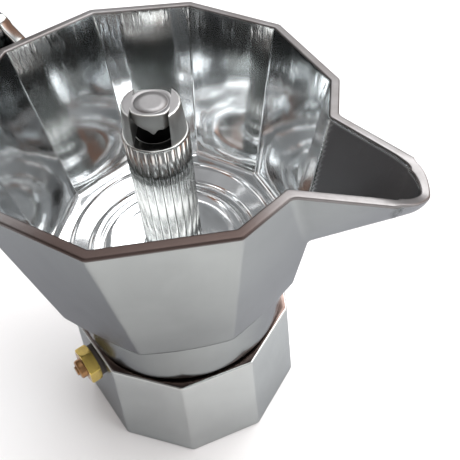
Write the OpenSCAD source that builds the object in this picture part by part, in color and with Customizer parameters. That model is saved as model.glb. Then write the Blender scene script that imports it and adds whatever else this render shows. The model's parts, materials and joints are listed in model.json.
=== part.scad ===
// Moka pot: a ten-sided cast stovetop coffee maker.
// Frame: +Z up, origin at the centre of the boiler's base, spout towards +X, handle towards -X.
// The lid is drawn open against its stop; the chamber is drawn screwed down on the boiler.

/* [Boiler] */
// Number of flat sides round the boiler and the chamber
flats = 10; // [8:2:12]
// Height of the boiler's flat sides
boiler_h = 43; // [38:0.5:60]
// How far the boiler's base corners stand outside its shoulder corners
boiler_flare = 5.1; // [2:0.1:9]
// How far the boiler's shoulder corners stand outside the skirt above
shoulder_w = 2.3; // [2:0.1:6]
// Thickness of the boiler's floor
boiler_floor_t = 3; // [2:0.1:5]
// Thinnest boiler wall, at the middle of a flat by the shoulder
boiler_wall_t = 3.4; // [2.5:0.1:3.8]
// Turn of the boiler's corners against the chamber's corners
boiler_clock = 11.8; // [0:0.1:36]

/* [Neck and thread] */
// Bore radius of the boiler's neck
neck_bore_r = 24.4; // [18:0.1:34]
// Wall of the neck
neck_wall_t = 2.5; // [2:0.1:4]
// Height of the neck above the shoulder
neck_h = 15; // [13:0.5:20]
// Pitch of the thread
thread_pitch = 3; // [2.6:0.1:3.6]
// Radial height of the thread ridges
thread_h = 1.1; // [0.8:0.05:1.4]
// Radial room between a ridge and the wall it faces
thread_gap = 0.5; // [0.4:0.05:0.8]
// Turns of thread on each piece
thread_turns = 3; // [2:0.5:3.5]

/* [Upper chamber] */
// Gap between the boiler's shoulder and the chamber's skirt
seam_gap = 1.9; // [1:0.1:3]
// Wall of the threaded skirt
skirt_wall_t = 2.2; // [1.8:0.1:4]
// Width of the sloping band between the skirt and the flat sides
chamfer_w = 3.9; // [2.5:0.1:6]
// Height of the chamber's flat sides
chamber_h = 44.3; // [34:0.5:60]
// How far the rim's corners stand outside the waist's corners
chamber_flare = 4.4; // [2:0.1:8]
// Wall of the chamber at its rim
rim_wall_t = 1.9; // [1.5:0.1:3]
// Wall of the chamber at its foot
foot_wall_t = 2.4; // [1.8:0.1:3]
// Thickness of the chamber's floor over the gasket
floor_t = 2.7; // [2:0.1:4]
// Rise of the floor from its middle to the foot of the walls
floor_rise = 3.6; // [2:0.1:4]

/* [Spout] */
// Reach of the spout's tip beyond the rim's corner
spout_out = 16.6; // [12:0.1:22]
// Radius of the spout's rounded tip, seen from above
spout_tip_r = 6.3; // [4:0.1:8]
// Half width of the spout where it leaves the chamber
spout_root_w = 12; // [8:0.1:16]
// Depth of the spout's keel below the rim, at the chamber
spout_depth = 25; // [16:0.5:30]
// Depth of the spout's nose below the rim, at the tip
spout_nose = 6; // [4:0.1:9]
// Wall of the spout
spout_wall_t = 1.8; // [1.2:0.1:2.5]

/* [Coffee column] */
// Bore radius of the column
column_bore_r = 4.2; // [3:0.1:5.5]
// Wall of the column at its shoulder
column_wall_t = 2.9; // [2:0.1:4]
// Distance of the column's top below the rim
column_drop = 0.9; // [0.5:0.1:12]
// Height of the windowed head above the column's shoulder
head_h = 6.8; // [5:0.1:12]
// Height of the plug that closes the head
plug_h = 2.5; // [2:0.1:2.7]
// Number of flutes round the column
flutes = 22; // [12:1:28]
// Depth of the flutes
flute_depth = 0.3; // [0.2:0.05:0.5]
// Direction that the column's windows face
window_az = -63; // [-180:1:180]

/* [Basket and seals] */
// Radial clearance of the basket in the neck
basket_gap = 0.3; // [0.3:0.05:0.6]
// Sheet thickness of the basket
basket_t = 0.9; // [0.6:0.1:1.4]
// Depth of the basket from its flange to the strainer
basket_depth = 17; // [12:0.5:19]
// Thickness of the basket's flange
flange_t = 1; // [0.8:0.1:1.5]
// Outside radius of the basket's stem
stem_r = 4.7; // [4.5:0.1:6]
// Wall of the stem
stem_t = 0.6; // [0.5:0.05:1]
// Clearance of the stem's end above the boiler's floor
stem_clear = 4.5; // [2:0.5:8]
// Thickness of the perforated discs
disc_t = 0.8; // [0.5:0.1:1.2]
// Radius of the holes in the strainer disc
strainer_hole_r = 0.7; // [0.4:0.05:0.9]
// Radius of the holes in the filter plate
filter_hole_r = 0.5; // [0.4:0.05:0.8]
// Thickness of the gasket
gasket_t = 3.6; // [3:0.1:5]

/* [Safety valve] */
// Height of the valve's axis where it crosses the boiler's face
valve_z = 35; // [26:0.5:36]
// Which flat the valve stands on, counted from the boiler's first corner
valve_flat = 6; // [0:1:9]
// Width across the flats of the hexagon
valve_hex_af = 9.8; // [8:0.1:12]
// Thickness of the hexagon
valve_hex_t = 3.4; // [2.5:0.1:5]
// Thickness of the seal ring behind the hexagon
valve_washer_t = 1; // [0.5:0.1:1.5]
// Radius of the threaded shank
valve_shank_r = 4; // [3.5:0.1:4.4]
// Length of the shank inside the boiler's face
valve_shank_l = 7; // [6:0.5:10]
// Radius of the round boss on the hexagon
valve_boss_r = 2.9; // [2.4:0.1:3.5]
// Length of the round boss
valve_boss_l = 1.8; // [1:0.1:3]
// Radius of the pin that shows in the boss
valve_pin_r = 1.4; // [1:0.1:1.6]
// Running clearance of the pin in the boss
valve_pin_gap = 0.06; // [0.02:0.01:0.1]

/* [Lid and hinge] */
// Angle that the open lid makes with the rim
lid_open = 112; // [100:1:115]
// Sheet thickness of the lid
lid_t = 1.8; // [1.4:0.1:2.5]
// Height of the lid's dome
dome_h = 10; // [7:0.5:16]
// Play between the closed lid and the rim
lid_gap = 0.3; // [0.2:0.05:0.5]
// Radius of the hinge pin
hinge_pin_r = 1.5; // [1:0.1:2]
// Running clearance of the lid on the hinge pin
hinge_gap = 0.06; // [0.02:0.01:0.1]
// Outside radius of the hinge's ears and knuckle
knuckle_r = 3.2; // [2.8:0.1:4]
// Half width of the lid's knuckle
knuckle_w = 3.7; // [3:0.1:5]
// Width of each ear
ear_w = 3.2; // [2.5:0.1:5]
// Distance of the hinge axis outside the rim's corner
hinge_out = 4.2; // [3.8:0.1:6]
// Height of the hinge axis above the rim
hinge_up = 1.2; // [0.8:0.1:2]

/* [Handle and knob] */
// Reach of the handle's grip from the rim's corner
handle_reach = 31; // [26:0.5:40]
// Length of the grip below the handle's head
handle_drop = 52; // [40:0.5:60]
// Width of the handle
handle_w = 15; // [13:0.5:18]
// Thickness of the grip
handle_t = 11; // [9:0.5:14]
// Radius of the pin that holds the handle
handle_pin_r = 1.5; // [1:0.1:2]
// Height of the knob
knob_h = 17; // [12:0.5:24]
// Largest radius of the knob
knob_r = 9.5; // [8:0.1:13]
// Radius of the knob's screw
knob_screw_r = 2; // [1.5:0.1:2.2]

/* [Hidden] */
$fn = 96;
eps = 0.01;
drill_l = 40;

flat_turn = 360 / flats;
to_flat = cos(flat_turn / 2);

// Neck, thread and skirt, from the neck's bore outwards
neck_r = neck_bore_r + neck_wall_t;
skirt_bore_r = neck_r + thread_h + thread_gap;
skirt_r = skirt_bore_r + skirt_wall_t;
boiler_top_r = skirt_r + shoulder_w;
boiler_base_r = boiler_top_r + boiler_flare;
waist_r = skirt_r + chamfer_w;
rim_r = waist_r + chamber_flare;
ridge_root = thread_pitch * 0.46;
ridge_crest = thread_pitch * 0.2;
ridge_grip = 0.4;
ridge_fade = 30;
ridge_steps = 36;

// Heights, from the base upwards
neck_top_z = boiler_h + neck_h;
flange_top_z = neck_top_z + flange_t;
seat_z = flange_top_z + gasket_t;
floor_z = seat_z + floor_t;
ledge_z = floor_z + floor_rise;
crown_t = 2.2;
skirt_z = boiler_h + seam_gap;
skirt_top_z = seat_z + crown_t;
waist_z = skirt_top_z + chamfer_w;
rim_z = waist_z + chamber_h;
male_z = boiler_h + 4;
female_z = male_z + thread_pitch / 2;

// Boiler cavity
boiler_in_r = boiler_top_r * to_flat - boiler_wall_t;
cavity_round = 3;
cone_h = boiler_in_r - neck_bore_r + 1;

// Chamber floor
foot_ledge_w = 6.8;
floor_cone_w = 6.4;
floor_ring_r = waist_r - foot_ledge_w;
floor_mid_r = floor_ring_r - floor_cone_w;
chamber_foot_r = waist_r - foot_wall_t / to_flat;
chamber_mouth_r = rim_r - rim_wall_t / to_flat;
sump_h = 1;

// Coffee column
column_r = column_bore_r + column_wall_t;
column_taper = 0.4;
column_foot_r = column_r + column_taper;
column_top_z = rim_z - column_drop;
column_shoulder_z = column_top_z - head_h;
head_step = 0.4;
head_root_r = column_r - head_step;
head_top_r = head_root_r - 0.7;
plug_grip = 0.02;
plug_r = column_bore_r + plug_grip;
flute_r = 0.7;

// Spout
spout_reach = rim_r + spout_out;
spout_tip_x = spout_reach - spout_tip_r;
spout_top_t = 0.6;
keel_r = 0.8;
nose_r = 1.2;

// Basket, gasket and discs
basket_r = neck_bore_r - basket_gap;
basket_in_r = basket_r - basket_t;
flange_r = neck_r - 0.5;
strainer_z = flange_top_z - basket_depth;
basket_ledge_w = 2;
basket_cone_h = 7;
collar_h = 4;
collar_t = 0.9;
stem_top_z = strainer_z - basket_cone_h;
gasket_r = neck_r;
gasket_in_r = gasket_r - 6.3;
filter_r = gasket_in_r + 3;
disc_gap = 0.1;
strainer_rings = 5;
filter_rings = 6;

// Safety valve, in its own frame: z along its axis, 0 on the boiler's face
valve_lean = atan((boiler_base_r - boiler_top_r) * to_flat / boiler_h);
valve_az = boiler_clock + flat_turn * (valve_flat + 0.5);
valve_face_x = to_flat * (boiler_base_r + (boiler_top_r - boiler_base_r) * valve_z / boiler_h);
valve_hex_end = valve_washer_t + valve_hex_t;
valve_seat_t = 1.2;
valve_seat_r = valve_shank_r - 1;
valve_seat_hole_r = valve_seat_r - 1.5;
valve_room_r = valve_seat_r - 0.5;
valve_room_z = valve_hex_end - 0.2;
valve_head_t = 1;
valve_head_r = valve_room_r - 0.2;
valve_seat_face = valve_seat_t - valve_shank_l;
valve_pin_out = 0.5;
spring_wire_r = 0.25;
spring_r = (valve_pin_r + valve_room_r) / 2;
spring_turns = 6;

// Hinge and lid, drawn closed and then opened about the hinge axis
hinge_x = -rim_r - hinge_out;
hinge_z = rim_z + hinge_up;
knuckle_side = 0.2;
lid_z = rim_z + lid_gap;
lid_band = 2;
lid_r = rim_r + 0.2;
dome_mid_r = lid_r * 0.77;
dome_top_r = lid_r * 0.3;
dome_top_z = lid_z + lid_band + dome_h;
lip_r = chamber_mouth_r * to_flat - 0.8;
lip_h = 2.4;
lip_root = 2.4;
beak_x = spout_tip_x + 1;
heel_l = 5;

// Handle
lug_w = 3.5;
lug_out = 9;
lug_h = 10;
lug_top_z = rim_z - 8.5;
lug_pin_x = -rim_r - 5.5;
lug_pin_z = lug_top_z - lug_h / 2;
head_top_z = lug_top_z + 1.6;
head_block_h = lug_h + 3.2;
handle_near_x = -rim_r - 1;
mortise_gap = 0.15;

// Knob
washer_t = 0.6;
knob_z = dome_top_z + washer_t;
screw_play = 0.2;
insert_r = knob_screw_r + 1.2;
insert_l = 9;
screw_head_r = knob_screw_r + 1.8;
screw_head_t = 2.2;

// A straight-sided frustum with a corner towards +X
module frustum(h, r1, r2) {
    cylinder(h = h, r1 = r1, r2 = r2, $fn = flats);
}

// A helical ridge on a wall of radius wall_r; rise is positive outwards and negative inwards
function ridge_ring(a, wall_r, rise, z0) =
    let (end = thread_turns * 360,
         fade = min(1, max(0.05, a / ridge_fade), max(0.05, (end - a) / ridge_fade)),
         r0 = wall_r - sign(rise) * ridge_grip,
         r1 = wall_r + rise * fade,
         z = z0 + thread_pitch * a / 360)
    [for (p = [[r0, -ridge_root / 2], [r1, -ridge_crest / 2], [r1, ridge_crest / 2], [r0, ridge_root / 2]])
        [p[0] * cos(a), p[0] * sin(a), z + p[1]]];

module ridge(wall_r, rise, z0) {
    rings = thread_turns * ridge_steps;
    points = [for (i = [0:rings]) each ridge_ring(i * 360 / ridge_steps, wall_r, rise, z0)];
    sides = [for (i = [0:rings - 1], k = [0:3])
        let (a = 4 * i + k, b = 4 * i + (k + 1) % 4)
        each [[a, b, b + 4], [a, b + 4, a + 4]]];
    last = 4 * rings;
    caps = [[2, 1, 0], [3, 2, 0], [last, last + 1, last + 2], [last, last + 2, last + 3]];
    faces = concat(sides, caps);
    flipped = [for (f = faces) [f[2], f[1], f[0]]];
    polyhedron(points, rise > 0 ? faces : flipped);
}

// A wire coil along +Z
function coil_ring(a, r, wire_r, pitch) =
    [for (k = [0:5])
        let (q = r + wire_r * cos(60 * k))
        [q * cos(a), q * sin(a), pitch * a / 360 + wire_r * sin(60 * k)]];

module coil(r, wire_r, l, turns) {
    steps = 14;
    rings = turns * steps;
    pitch = (l - 2 * wire_r) / turns;
    points = [for (i = [0:rings]) each coil_ring(i * 360 / steps, r, wire_r, pitch)];
    sides = [for (i = [0:rings - 1], k = [0:5])
        let (a = 6 * i + k, b = 6 * i + (k + 1) % 6)
        each [[a, b + 6, b], [a, a + 6, b + 6]]];
    last = 6 * rings;
    start_cap = [for (k = [1:4]) [0, k, k + 1]];
    end_cap = [for (k = [1:4]) [last, last + k + 1, last + k]];
    translate([0, 0, wire_r])
        polyhedron(points, concat(sides, start_cap, end_cap));
}

// A perforated disc with holes in rings round a middle hole
module perforated(r, t, hole_r, rings) {
    spacing = (r - 3) / rings;
    linear_extrude(height = t)
        difference() {
            circle(r = r);
            circle(r = hole_r, $fn = 24);
            for (k = [1:rings], i = [0:6 * k - 1])
                rotate(i * 60 / k)
                    translate([k * spacing, 0])
                        circle(r = hole_r, $fn = 24);
        }
}

module boiler_shell() {
    rotate([0, 0, boiler_clock])
        frustum(boiler_h, boiler_base_r, boiler_top_r);
    cylinder(h = neck_top_z, r = neck_r);
}

module boiler_cavity() {
    wall_top_z = boiler_h - cone_h;
    translate([0, 0, boiler_floor_t + cavity_round])
        cylinder(h = wall_top_z - boiler_floor_t - cavity_round + eps, r = boiler_in_r);
    translate([0, 0, boiler_floor_t])
        cylinder(h = cavity_round + eps, r1 = boiler_in_r - cavity_round, r2 = boiler_in_r);
    translate([0, 0, wall_top_z])
        cylinder(h = cone_h, r1 = boiler_in_r, r2 = neck_bore_r);
    translate([0, 0, boiler_h - eps])
        cylinder(h = neck_h + 1, r = neck_bore_r);
}

module boiler() {
    color("silver")
        difference() {
            union() {
                boiler_shell();
                ridge(neck_r, thread_h, male_z);
            }
            boiler_cavity();
            valve_place()
                translate([0, 0, -valve_shank_l - 6])
                    cylinder(h = valve_shank_l + 8, r = valve_shank_r);
        }
}

// Puts the valve's own frame on the boiler's face
module valve_place() {
    rotate([0, 0, valve_az])
        translate([valve_face_x, 0, valve_z])
            rotate([0, 90 - valve_lean, 0])
                children();
}

module valve_washer() {
    color("dimgray")
        valve_place()
            difference() {
                cylinder(h = valve_washer_t, r = valve_hex_af / 2);
                translate([0, 0, -1])
                    cylinder(h = valve_washer_t + 2, r = valve_shank_r);
            }
}

module valve_hexagon() {
    corner_r = valve_hex_af / 2 / cos(30);
    intersection() {
        translate([0, 0, valve_washer_t])
            cylinder(h = valve_hex_t, r = corner_r, $fn = 6);
        translate([0, 0, valve_washer_t])
            cylinder(h = valve_hex_t, r1 = corner_r + valve_hex_t * 1.3, r2 = corner_r - 0.5);
    }
}

module valve_body() {
    boss_edge = 0.6;
    color("goldenrod")
        valve_place()
            difference() {
                union() {
                    valve_hexagon();
                    translate([0, 0, -valve_shank_l])
                        cylinder(h = valve_shank_l + valve_washer_t + eps, r = valve_shank_r);
                    translate([0, 0, valve_hex_end - eps])
                        cylinder(h = valve_boss_l - boss_edge + 2 * eps, r = valve_boss_r);
                    translate([0, 0, valve_hex_end + valve_boss_l - boss_edge])
                        cylinder(h = boss_edge, r1 = valve_boss_r, r2 = valve_boss_r - boss_edge);
                }
                translate([0, 0, -valve_shank_l - 1])
                    cylinder(h = 1 + valve_seat_t, r = valve_seat_r);
                translate([0, 0, valve_seat_face - eps])
                    cylinder(h = valve_room_z - valve_seat_face + eps, r = valve_room_r);
                cylinder(h = valve_hex_end + valve_boss_l + 1, r = valve_pin_r + valve_pin_gap);
            }
}

module valve_seat() {
    color("darkgoldenrod")
        valve_place()
            translate([0, 0, -valve_shank_l])
                difference() {
                    cylinder(h = valve_seat_t, r = valve_seat_r);
                    translate([0, 0, -1])
                        cylinder(h = valve_seat_t + 2, r = valve_seat_hole_r);
                }
}

module valve_stem() {
    stem_end = valve_hex_end + valve_boss_l + valve_pin_out;
    color("gold")
        valve_place() {
            translate([0, 0, valve_seat_face])
                cylinder(h = valve_head_t, r = valve_head_r);
            translate([0, 0, valve_seat_face])
                cylinder(h = stem_end - valve_seat_face, r = valve_pin_r);
        }
}

module valve_spring() {
    start = valve_seat_face + valve_head_t;
    color("lightgray")
        valve_place()
            translate([0, 0, start + eps])
                coil(spring_r, spring_wire_r, valve_room_z - start - 2 * eps, spring_turns);
}

module basket() {
    cone_top_r = basket_r - basket_ledge_w;
    cone_z = strainer_z - basket_t;
    collar_r = stem_r + collar_t;
    color("lightgray")
        rotate_extrude()
            polygon([
                [basket_in_r, flange_top_z],
                [flange_r, flange_top_z],
                [flange_r, neck_top_z],
                [basket_r, neck_top_z],
                [basket_r, cone_z],
                [cone_top_r, cone_z],
                [collar_r, stem_top_z - basket_t],
                [collar_r, stem_top_z - collar_h],
                [stem_r, stem_top_z - collar_h],
                [stem_r, stem_top_z],
                [cone_top_r, strainer_z],
                [basket_in_r, strainer_z]
            ]);
}

module basket_stem() {
    stem_z = boiler_floor_t + stem_clear;
    color("gainsboro")
        translate([0, 0, stem_z])
            difference() {
                cylinder(h = stem_top_z - stem_z, r = stem_r);
                translate([0, 0, -1])
                    cylinder(h = stem_top_z - stem_z + 2, r = stem_r - stem_t);
            }
}

module strainer_disc() {
    color("darkgray")
        translate([0, 0, strainer_z])
            perforated(basket_in_r - disc_gap, disc_t, strainer_hole_r, strainer_rings);
}

module gasket() {
    rabbet_r = filter_r;
    color("whitesmoke")
        rotate_extrude()
            polygon([
                [gasket_in_r, flange_top_z],
                [gasket_r, flange_top_z],
                [gasket_r, seat_z],
                [rabbet_r, seat_z],
                [rabbet_r, seat_z - disc_t],
                [gasket_in_r, seat_z - disc_t]
            ]);
}

module filter_plate() {
    color("darkgray")
        translate([0, 0, seat_z - disc_t])
            perforated(filter_r - disc_gap, disc_t, filter_hole_r, filter_rings);
}

// Flat sides, sloping band and skirt of the chamber, solid
module chamber_body() {
    side_slope = chamber_flare / chamber_h;
    band_r = waist_r - chamfer_w * side_slope;
    cone_far = chamber_flare + 1;
    intersection() {
        translate([0, 0, skirt_top_z])
            frustum(rim_z - skirt_top_z, band_r, rim_r);
        union() {
            translate([0, 0, skirt_top_z])
                cylinder(h = chamfer_w + cone_far, r1 = skirt_r, r2 = waist_r + cone_far);
            translate([0, 0, waist_z + cone_far - eps])
                cylinder(h = chamber_h, r = rim_r + 1);
        }
    }
    translate([0, 0, skirt_z])
        cylinder(h = skirt_top_z - skirt_z + eps, r = skirt_r);
}

// The coffee space and the space under the floor
module chamber_cavity() {
    translate([0, 0, ledge_z])
        frustum(rim_z - ledge_z + eps, chamber_foot_r, chamber_mouth_r);
    translate([0, 0, floor_z])
        cylinder(h = floor_rise + eps, r1 = floor_mid_r, r2 = floor_ring_r);
    translate([0, 0, skirt_z - 1])
        cylinder(h = seat_z - skirt_z + 1, r = skirt_bore_r);
    translate([0, 0, seat_z - eps])
        cylinder(h = sump_h, r = gasket_in_r);
}

// The spout's outside, or its inside when inset is its wall
module spout_form(inset) {
    root_x = rim_r * to_flat - 6;
    root_w = spout_root_w + 2 - inset;
    top_h = spout_top_t + (inset > 0 ? 2 : 0);
    keel_z = rim_z - spout_depth + inset * 1.3;
    nose_z = rim_z - spout_nose + inset * 1.3;
    hull() {
        translate([spout_tip_x, 0, rim_z - spout_top_t])
            cylinder(h = top_h, r = spout_tip_r - inset);
        translate([root_x, -root_w, rim_z - spout_top_t])
            cube([0.1, 2 * root_w, top_h]);
        translate([spout_reach - 2 * nose_r - inset, 0, nose_z])
            sphere(r = nose_r);
        for (x = [root_x, rim_r - 2.5])
            translate([x, 0, keel_z])
                sphere(r = keel_r);
    }
}

// Grooves down the column, parallel to its tapered side
module column_flutes() {
    run = column_shoulder_z - floor_z;
    lean = atan(column_taper / run);
    for (i = [0:flutes - 1])
        rotate([0, 0, i * 360 / flutes])
            translate([column_foot_r - flute_depth + flute_r, 0, floor_z])
                rotate([0, -lean, 0])
                    translate([0, 0, 1])
                        cylinder(h = run + 1, r = flute_r, $fn = 24);
}

// Fluted tube with a slotted head
module column() {
    tube_z = floor_z - eps;
    slot_l = 2 * column_r + 2;
    difference() {
        union() {
            difference() {
                translate([0, 0, tube_z])
                    cylinder(h = column_shoulder_z - tube_z, r1 = column_foot_r, r2 = column_r);
                column_flutes();
            }
            translate([0, 0, column_shoulder_z - eps])
                cylinder(h = head_h + eps, r1 = head_root_r, r2 = head_top_r);
        }
        translate([0, 0, seat_z])
            cylinder(h = column_top_z - seat_z + 1, r = column_bore_r);
        rotate([0, 0, window_az])
            translate([-slot_l / 2, -column_bore_r, column_shoulder_z])
                cube([slot_l, 2 * column_bore_r, head_h + 1]);
    }
}

// Plug pressed between the two uprights of the column's head
module column_plug() {
    color("silver")
        translate([0, 0, column_top_z - plug_h])
            cylinder(h = plug_h, r = plug_r);
}

module hinge_ears() {
    ear_x = -rim_r + 3;
    block_z = rim_z - 6.5;
    block_h = hinge_z - block_z - 1.2;
    gap_w = knuckle_w + knuckle_side;
    ears_w = gap_w + ear_w;
    difference() {
        union() {
            translate([hinge_x - knuckle_r, -ears_w, block_z])
                cube([ear_x - hinge_x + knuckle_r, 2 * ears_w, block_h]);
            translate([hinge_x, ears_w, hinge_z])
                rotate([90, 0, 0])
                    cylinder(h = 2 * ears_w, r = knuckle_r);
        }
        translate([hinge_x - 3 * knuckle_r, -gap_w, hinge_z - heel_l - 0.5])
            cube([hinge_out + 3 * knuckle_r + 0.2, 2 * gap_w, 4 * heel_l]);
        hinge_drill(hinge_pin_r);
    }
}

// A hole of radius r on the hinge axis
module hinge_drill(r) {
    translate([hinge_x, drill_l / 2, hinge_z])
        rotate([90, 0, 0])
            cylinder(h = drill_l, r = r);
}

// A hole of the handle pin's radius through the lug and the handle
module lug_drill() {
    translate([lug_pin_x, drill_l / 2, lug_pin_z])
        rotate([90, 0, 0])
            cylinder(h = drill_l, r = handle_pin_r);
}

module handle_lug() {
    difference() {
        translate([-rim_r - lug_out, -lug_w, lug_top_z - lug_h])
            cube([lug_out + 3, 2 * lug_w, lug_h]);
        lug_drill();
    }
}

module upper_chamber() {
    color("silver") {
        difference() {
            union() {
                chamber_body();
                difference() {
                    spout_form(0);
                    translate([0, 0, skirt_z])
                        frustum(rim_z - skirt_z + 1, waist_r - 6, rim_r - 3);
                }
                hinge_ears();
                handle_lug();
            }
            chamber_cavity();
            spout_form(spout_wall_t);
            translate([0, 0, seat_z - 1])
                cylinder(h = floor_z - seat_z + 2, r = column_bore_r);
        }
        ridge(skirt_bore_r, -thread_h, female_z);
        column();
    }
}

// Centre line of the handle: out from the head, round a bend, and down the grip
function handle_line() =
    let (x0 = handle_near_x, x1 = -rim_r - handle_reach, z0 = head_top_z - head_block_h / 2, bend = 15)
    concat(
        [[x0, z0], [x0 - 7, z0 + 0.2]],
        [for (a = [90:15:165]) [x1 + bend + bend * cos(a), z0 + 0.8 - bend + bend * sin(a)]],
        [[x1 + 0.2, z0 - bend - 6], [x1 + 1.2, z0 - handle_drop * 0.6], [x1 + 3.4, z0 - handle_drop]]);

// Half thickness along the handle, from its head (s = 0) to its end (s = 1)
function handle_half(s) =
    let (head = head_block_h / 2, grip = handle_t / 2)
    s < 0.35 ? head + (grip - head) * s / 0.35 : grip - 0.8 * pow((s - 0.35) / 0.65, 2);

function handle_side(side) =
    let (line = handle_line(), n = len(line))
    [for (i = [0:n - 1])
        let (a = line[max(i - 1, 0)], b = line[min(i + 1, n - 1)], d = b - a, l = norm(d))
        line[i] + side * handle_half(i / (n - 1)) * [-d[1], d[0]] / l];

module handle_outline() {
    near = handle_side(1);
    far = handle_side(-1);
    polygon(concat(near, [for (i = [len(far) - 1:-1:0]) far[i]]));
}

module handle() {
    color("#202020")
        difference() {
            translate([0, handle_w / 2, 0])
                rotate([90, 0, 0])
                    linear_extrude(height = handle_w)
                        handle_outline();
            translate([-rim_r - lug_out, -lug_w, lug_top_z - lug_h] - mortise_gap * [1, 1, 1])
                cube([lug_out + 12, 2 * (lug_w + mortise_gap), lug_h + 2 * mortise_gap]);
            lug_drill();
        }
}

module handle_pin() {
    pin_l = handle_w - 1;
    color("lightgray")
        translate([lug_pin_x, pin_l / 2, lug_pin_z])
            rotate([90, 0, 0])
                cylinder(h = pin_l, r = handle_pin_r);
}

module hinge_pin() {
    pin_l = 2 * (knuckle_w + knuckle_side + ear_w);
    color("lightgray")
        translate([hinge_x, pin_l / 2, hinge_z])
            rotate([90, 0, 0])
                cylinder(h = pin_l, r = hinge_pin_r);
}

// Swings the closed lid open about the hinge pin
module lid_place() {
    translate([hinge_x, 0, hinge_z])
        rotate([0, -lid_open, 0])
            translate([-hinge_x, 0, -hinge_z])
                children();
}

// Rim band and dome of the lid, as a solid, or as the hollow inset inside it
module lid_form(inset) {
    band_r = lid_r - inset;
    below = inset > 0 ? 1 : 0;
    translate([0, 0, lid_z - below])
        frustum(lid_band + below - inset + eps, band_r, band_r);
    translate([0, 0, lid_z + lid_band - inset]) {
        frustum(dome_h / 2 + eps, band_r, dome_mid_r);
        translate([0, 0, dome_h / 2])
            frustum(dome_h / 2, dome_mid_r, dome_top_r);
    }
}

// The pointed part of the lid over the spout
module lid_beak() {
    linear_extrude(height = lid_band)
        polygon([
            [rim_r - 9, -spout_root_w + 2],
            [beak_x - 2, -spout_tip_r + 1],
            [beak_x + 2, -spout_tip_r + 3.5],
            [beak_x + 3, 0],
            [beak_x + 2, spout_tip_r - 3.5],
            [beak_x - 2, spout_tip_r - 1],
            [rim_r - 9, spout_root_w - 2]
        ]);
}

module lid_knuckle() {
    difference() {
        union() {
            translate([hinge_x, knuckle_w, hinge_z])
                rotate([90, 0, 0])
                    cylinder(h = 2 * knuckle_w, r = knuckle_r);
            translate([hinge_x, -knuckle_w, lid_z])
                cube([hinge_out + 3, 2 * knuckle_w, lid_band]);
            translate([hinge_x - heel_l, -knuckle_w, hinge_z - 1])
                cube([heel_l, 2 * knuckle_w, 2.5]);
        }
        hinge_drill(hinge_pin_r + hinge_gap);
    }
}

module lid_lip() {
    translate([0, 0, lid_z - lip_h])
        difference() {
            cylinder(h = lip_h + lip_root, r = lip_r);
            translate([0, 0, -1])
                cylinder(h = lip_h + lip_root + 2, r = lip_r - 1.4);
            translate([lip_r - 8, -spout_root_w, -1])
                cube([20, 2 * spout_root_w, lip_h + 1]);
        }
}

module lid() {
    color("silver")
        lid_place()
            difference() {
                union() {
                    difference() {
                        union() {
                            lid_form(0);
                            translate([0, 0, lid_z])
                                lid_beak();
                        }
                        lid_form(lid_t);
                    }
                    lid_lip();
                    lid_knuckle();
                }
                translate([0, 0, dome_top_z - 5])
                    cylinder(h = 10, r = knob_screw_r + screw_play);
            }
}

module knob_washer() {
    color("lightgray")
        lid_place()
            translate([0, 0, dome_top_z])
                difference() {
                    cylinder(h = washer_t, r = insert_r + 2.4);
                    translate([0, 0, -1])
                        cylinder(h = washer_t + 2, r = knob_screw_r + screw_play);
                }
}

module knob() {
    waist = 0.35;
    color("#202020")
        lid_place()
            translate([0, 0, knob_z])
                rotate_extrude()
                    polygon([
                        [insert_r, 0],
                        [knob_r - 2.2, 0],
                        [knob_r - 3.2, knob_h * waist],
                        [knob_r - 0.6, knob_h - 5],
                        [knob_r, knob_h - 3.5],
                        [knob_r - 0.8, knob_h - 1.2],
                        [knob_r - 3, knob_h - 0.2],
                        [0, knob_h],
                        [0, insert_l + 1],
                        [insert_r, insert_l + 1]
                    ]);
}

module knob_insert() {
    color("goldenrod")
        lid_place()
            translate([0, 0, knob_z])
                difference() {
                    cylinder(h = insert_l, r = insert_r);
                    translate([0, 0, -1])
                        cylinder(h = insert_l + 2, r = knob_screw_r);
                }
}

module knob_screw() {
    under_z = dome_top_z - lid_t;
    color("lightgray")
        lid_place() {
            translate([0, 0, under_z - eps])
                cylinder(h = knob_z + insert_l - 1 - under_z, r = knob_screw_r);
            translate([0, 0, under_z - screw_head_t])
                cylinder(h = screw_head_t, r = screw_head_r);
        }
}

boiler();
valve_washer();
valve_body();
valve_seat();
valve_stem();
valve_spring();
basket();
basket_stem();
strainer_disc();
gasket();
filter_plate();
upper_chamber();
column_plug();
handle();
handle_pin();
hinge_pin();
lid();
knob();
knob_insert();
knob_screw();
knob_washer();
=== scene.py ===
"""Looks of a ten-sided cast stovetop coffee maker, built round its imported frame."""
import json
import logging
import math
from dataclasses import dataclass, field
from enum import Enum
from typing import Any, Optional, Sequence

import bmesh
import bpy
import numpy as np
from mathutils import Matrix, Vector

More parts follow.
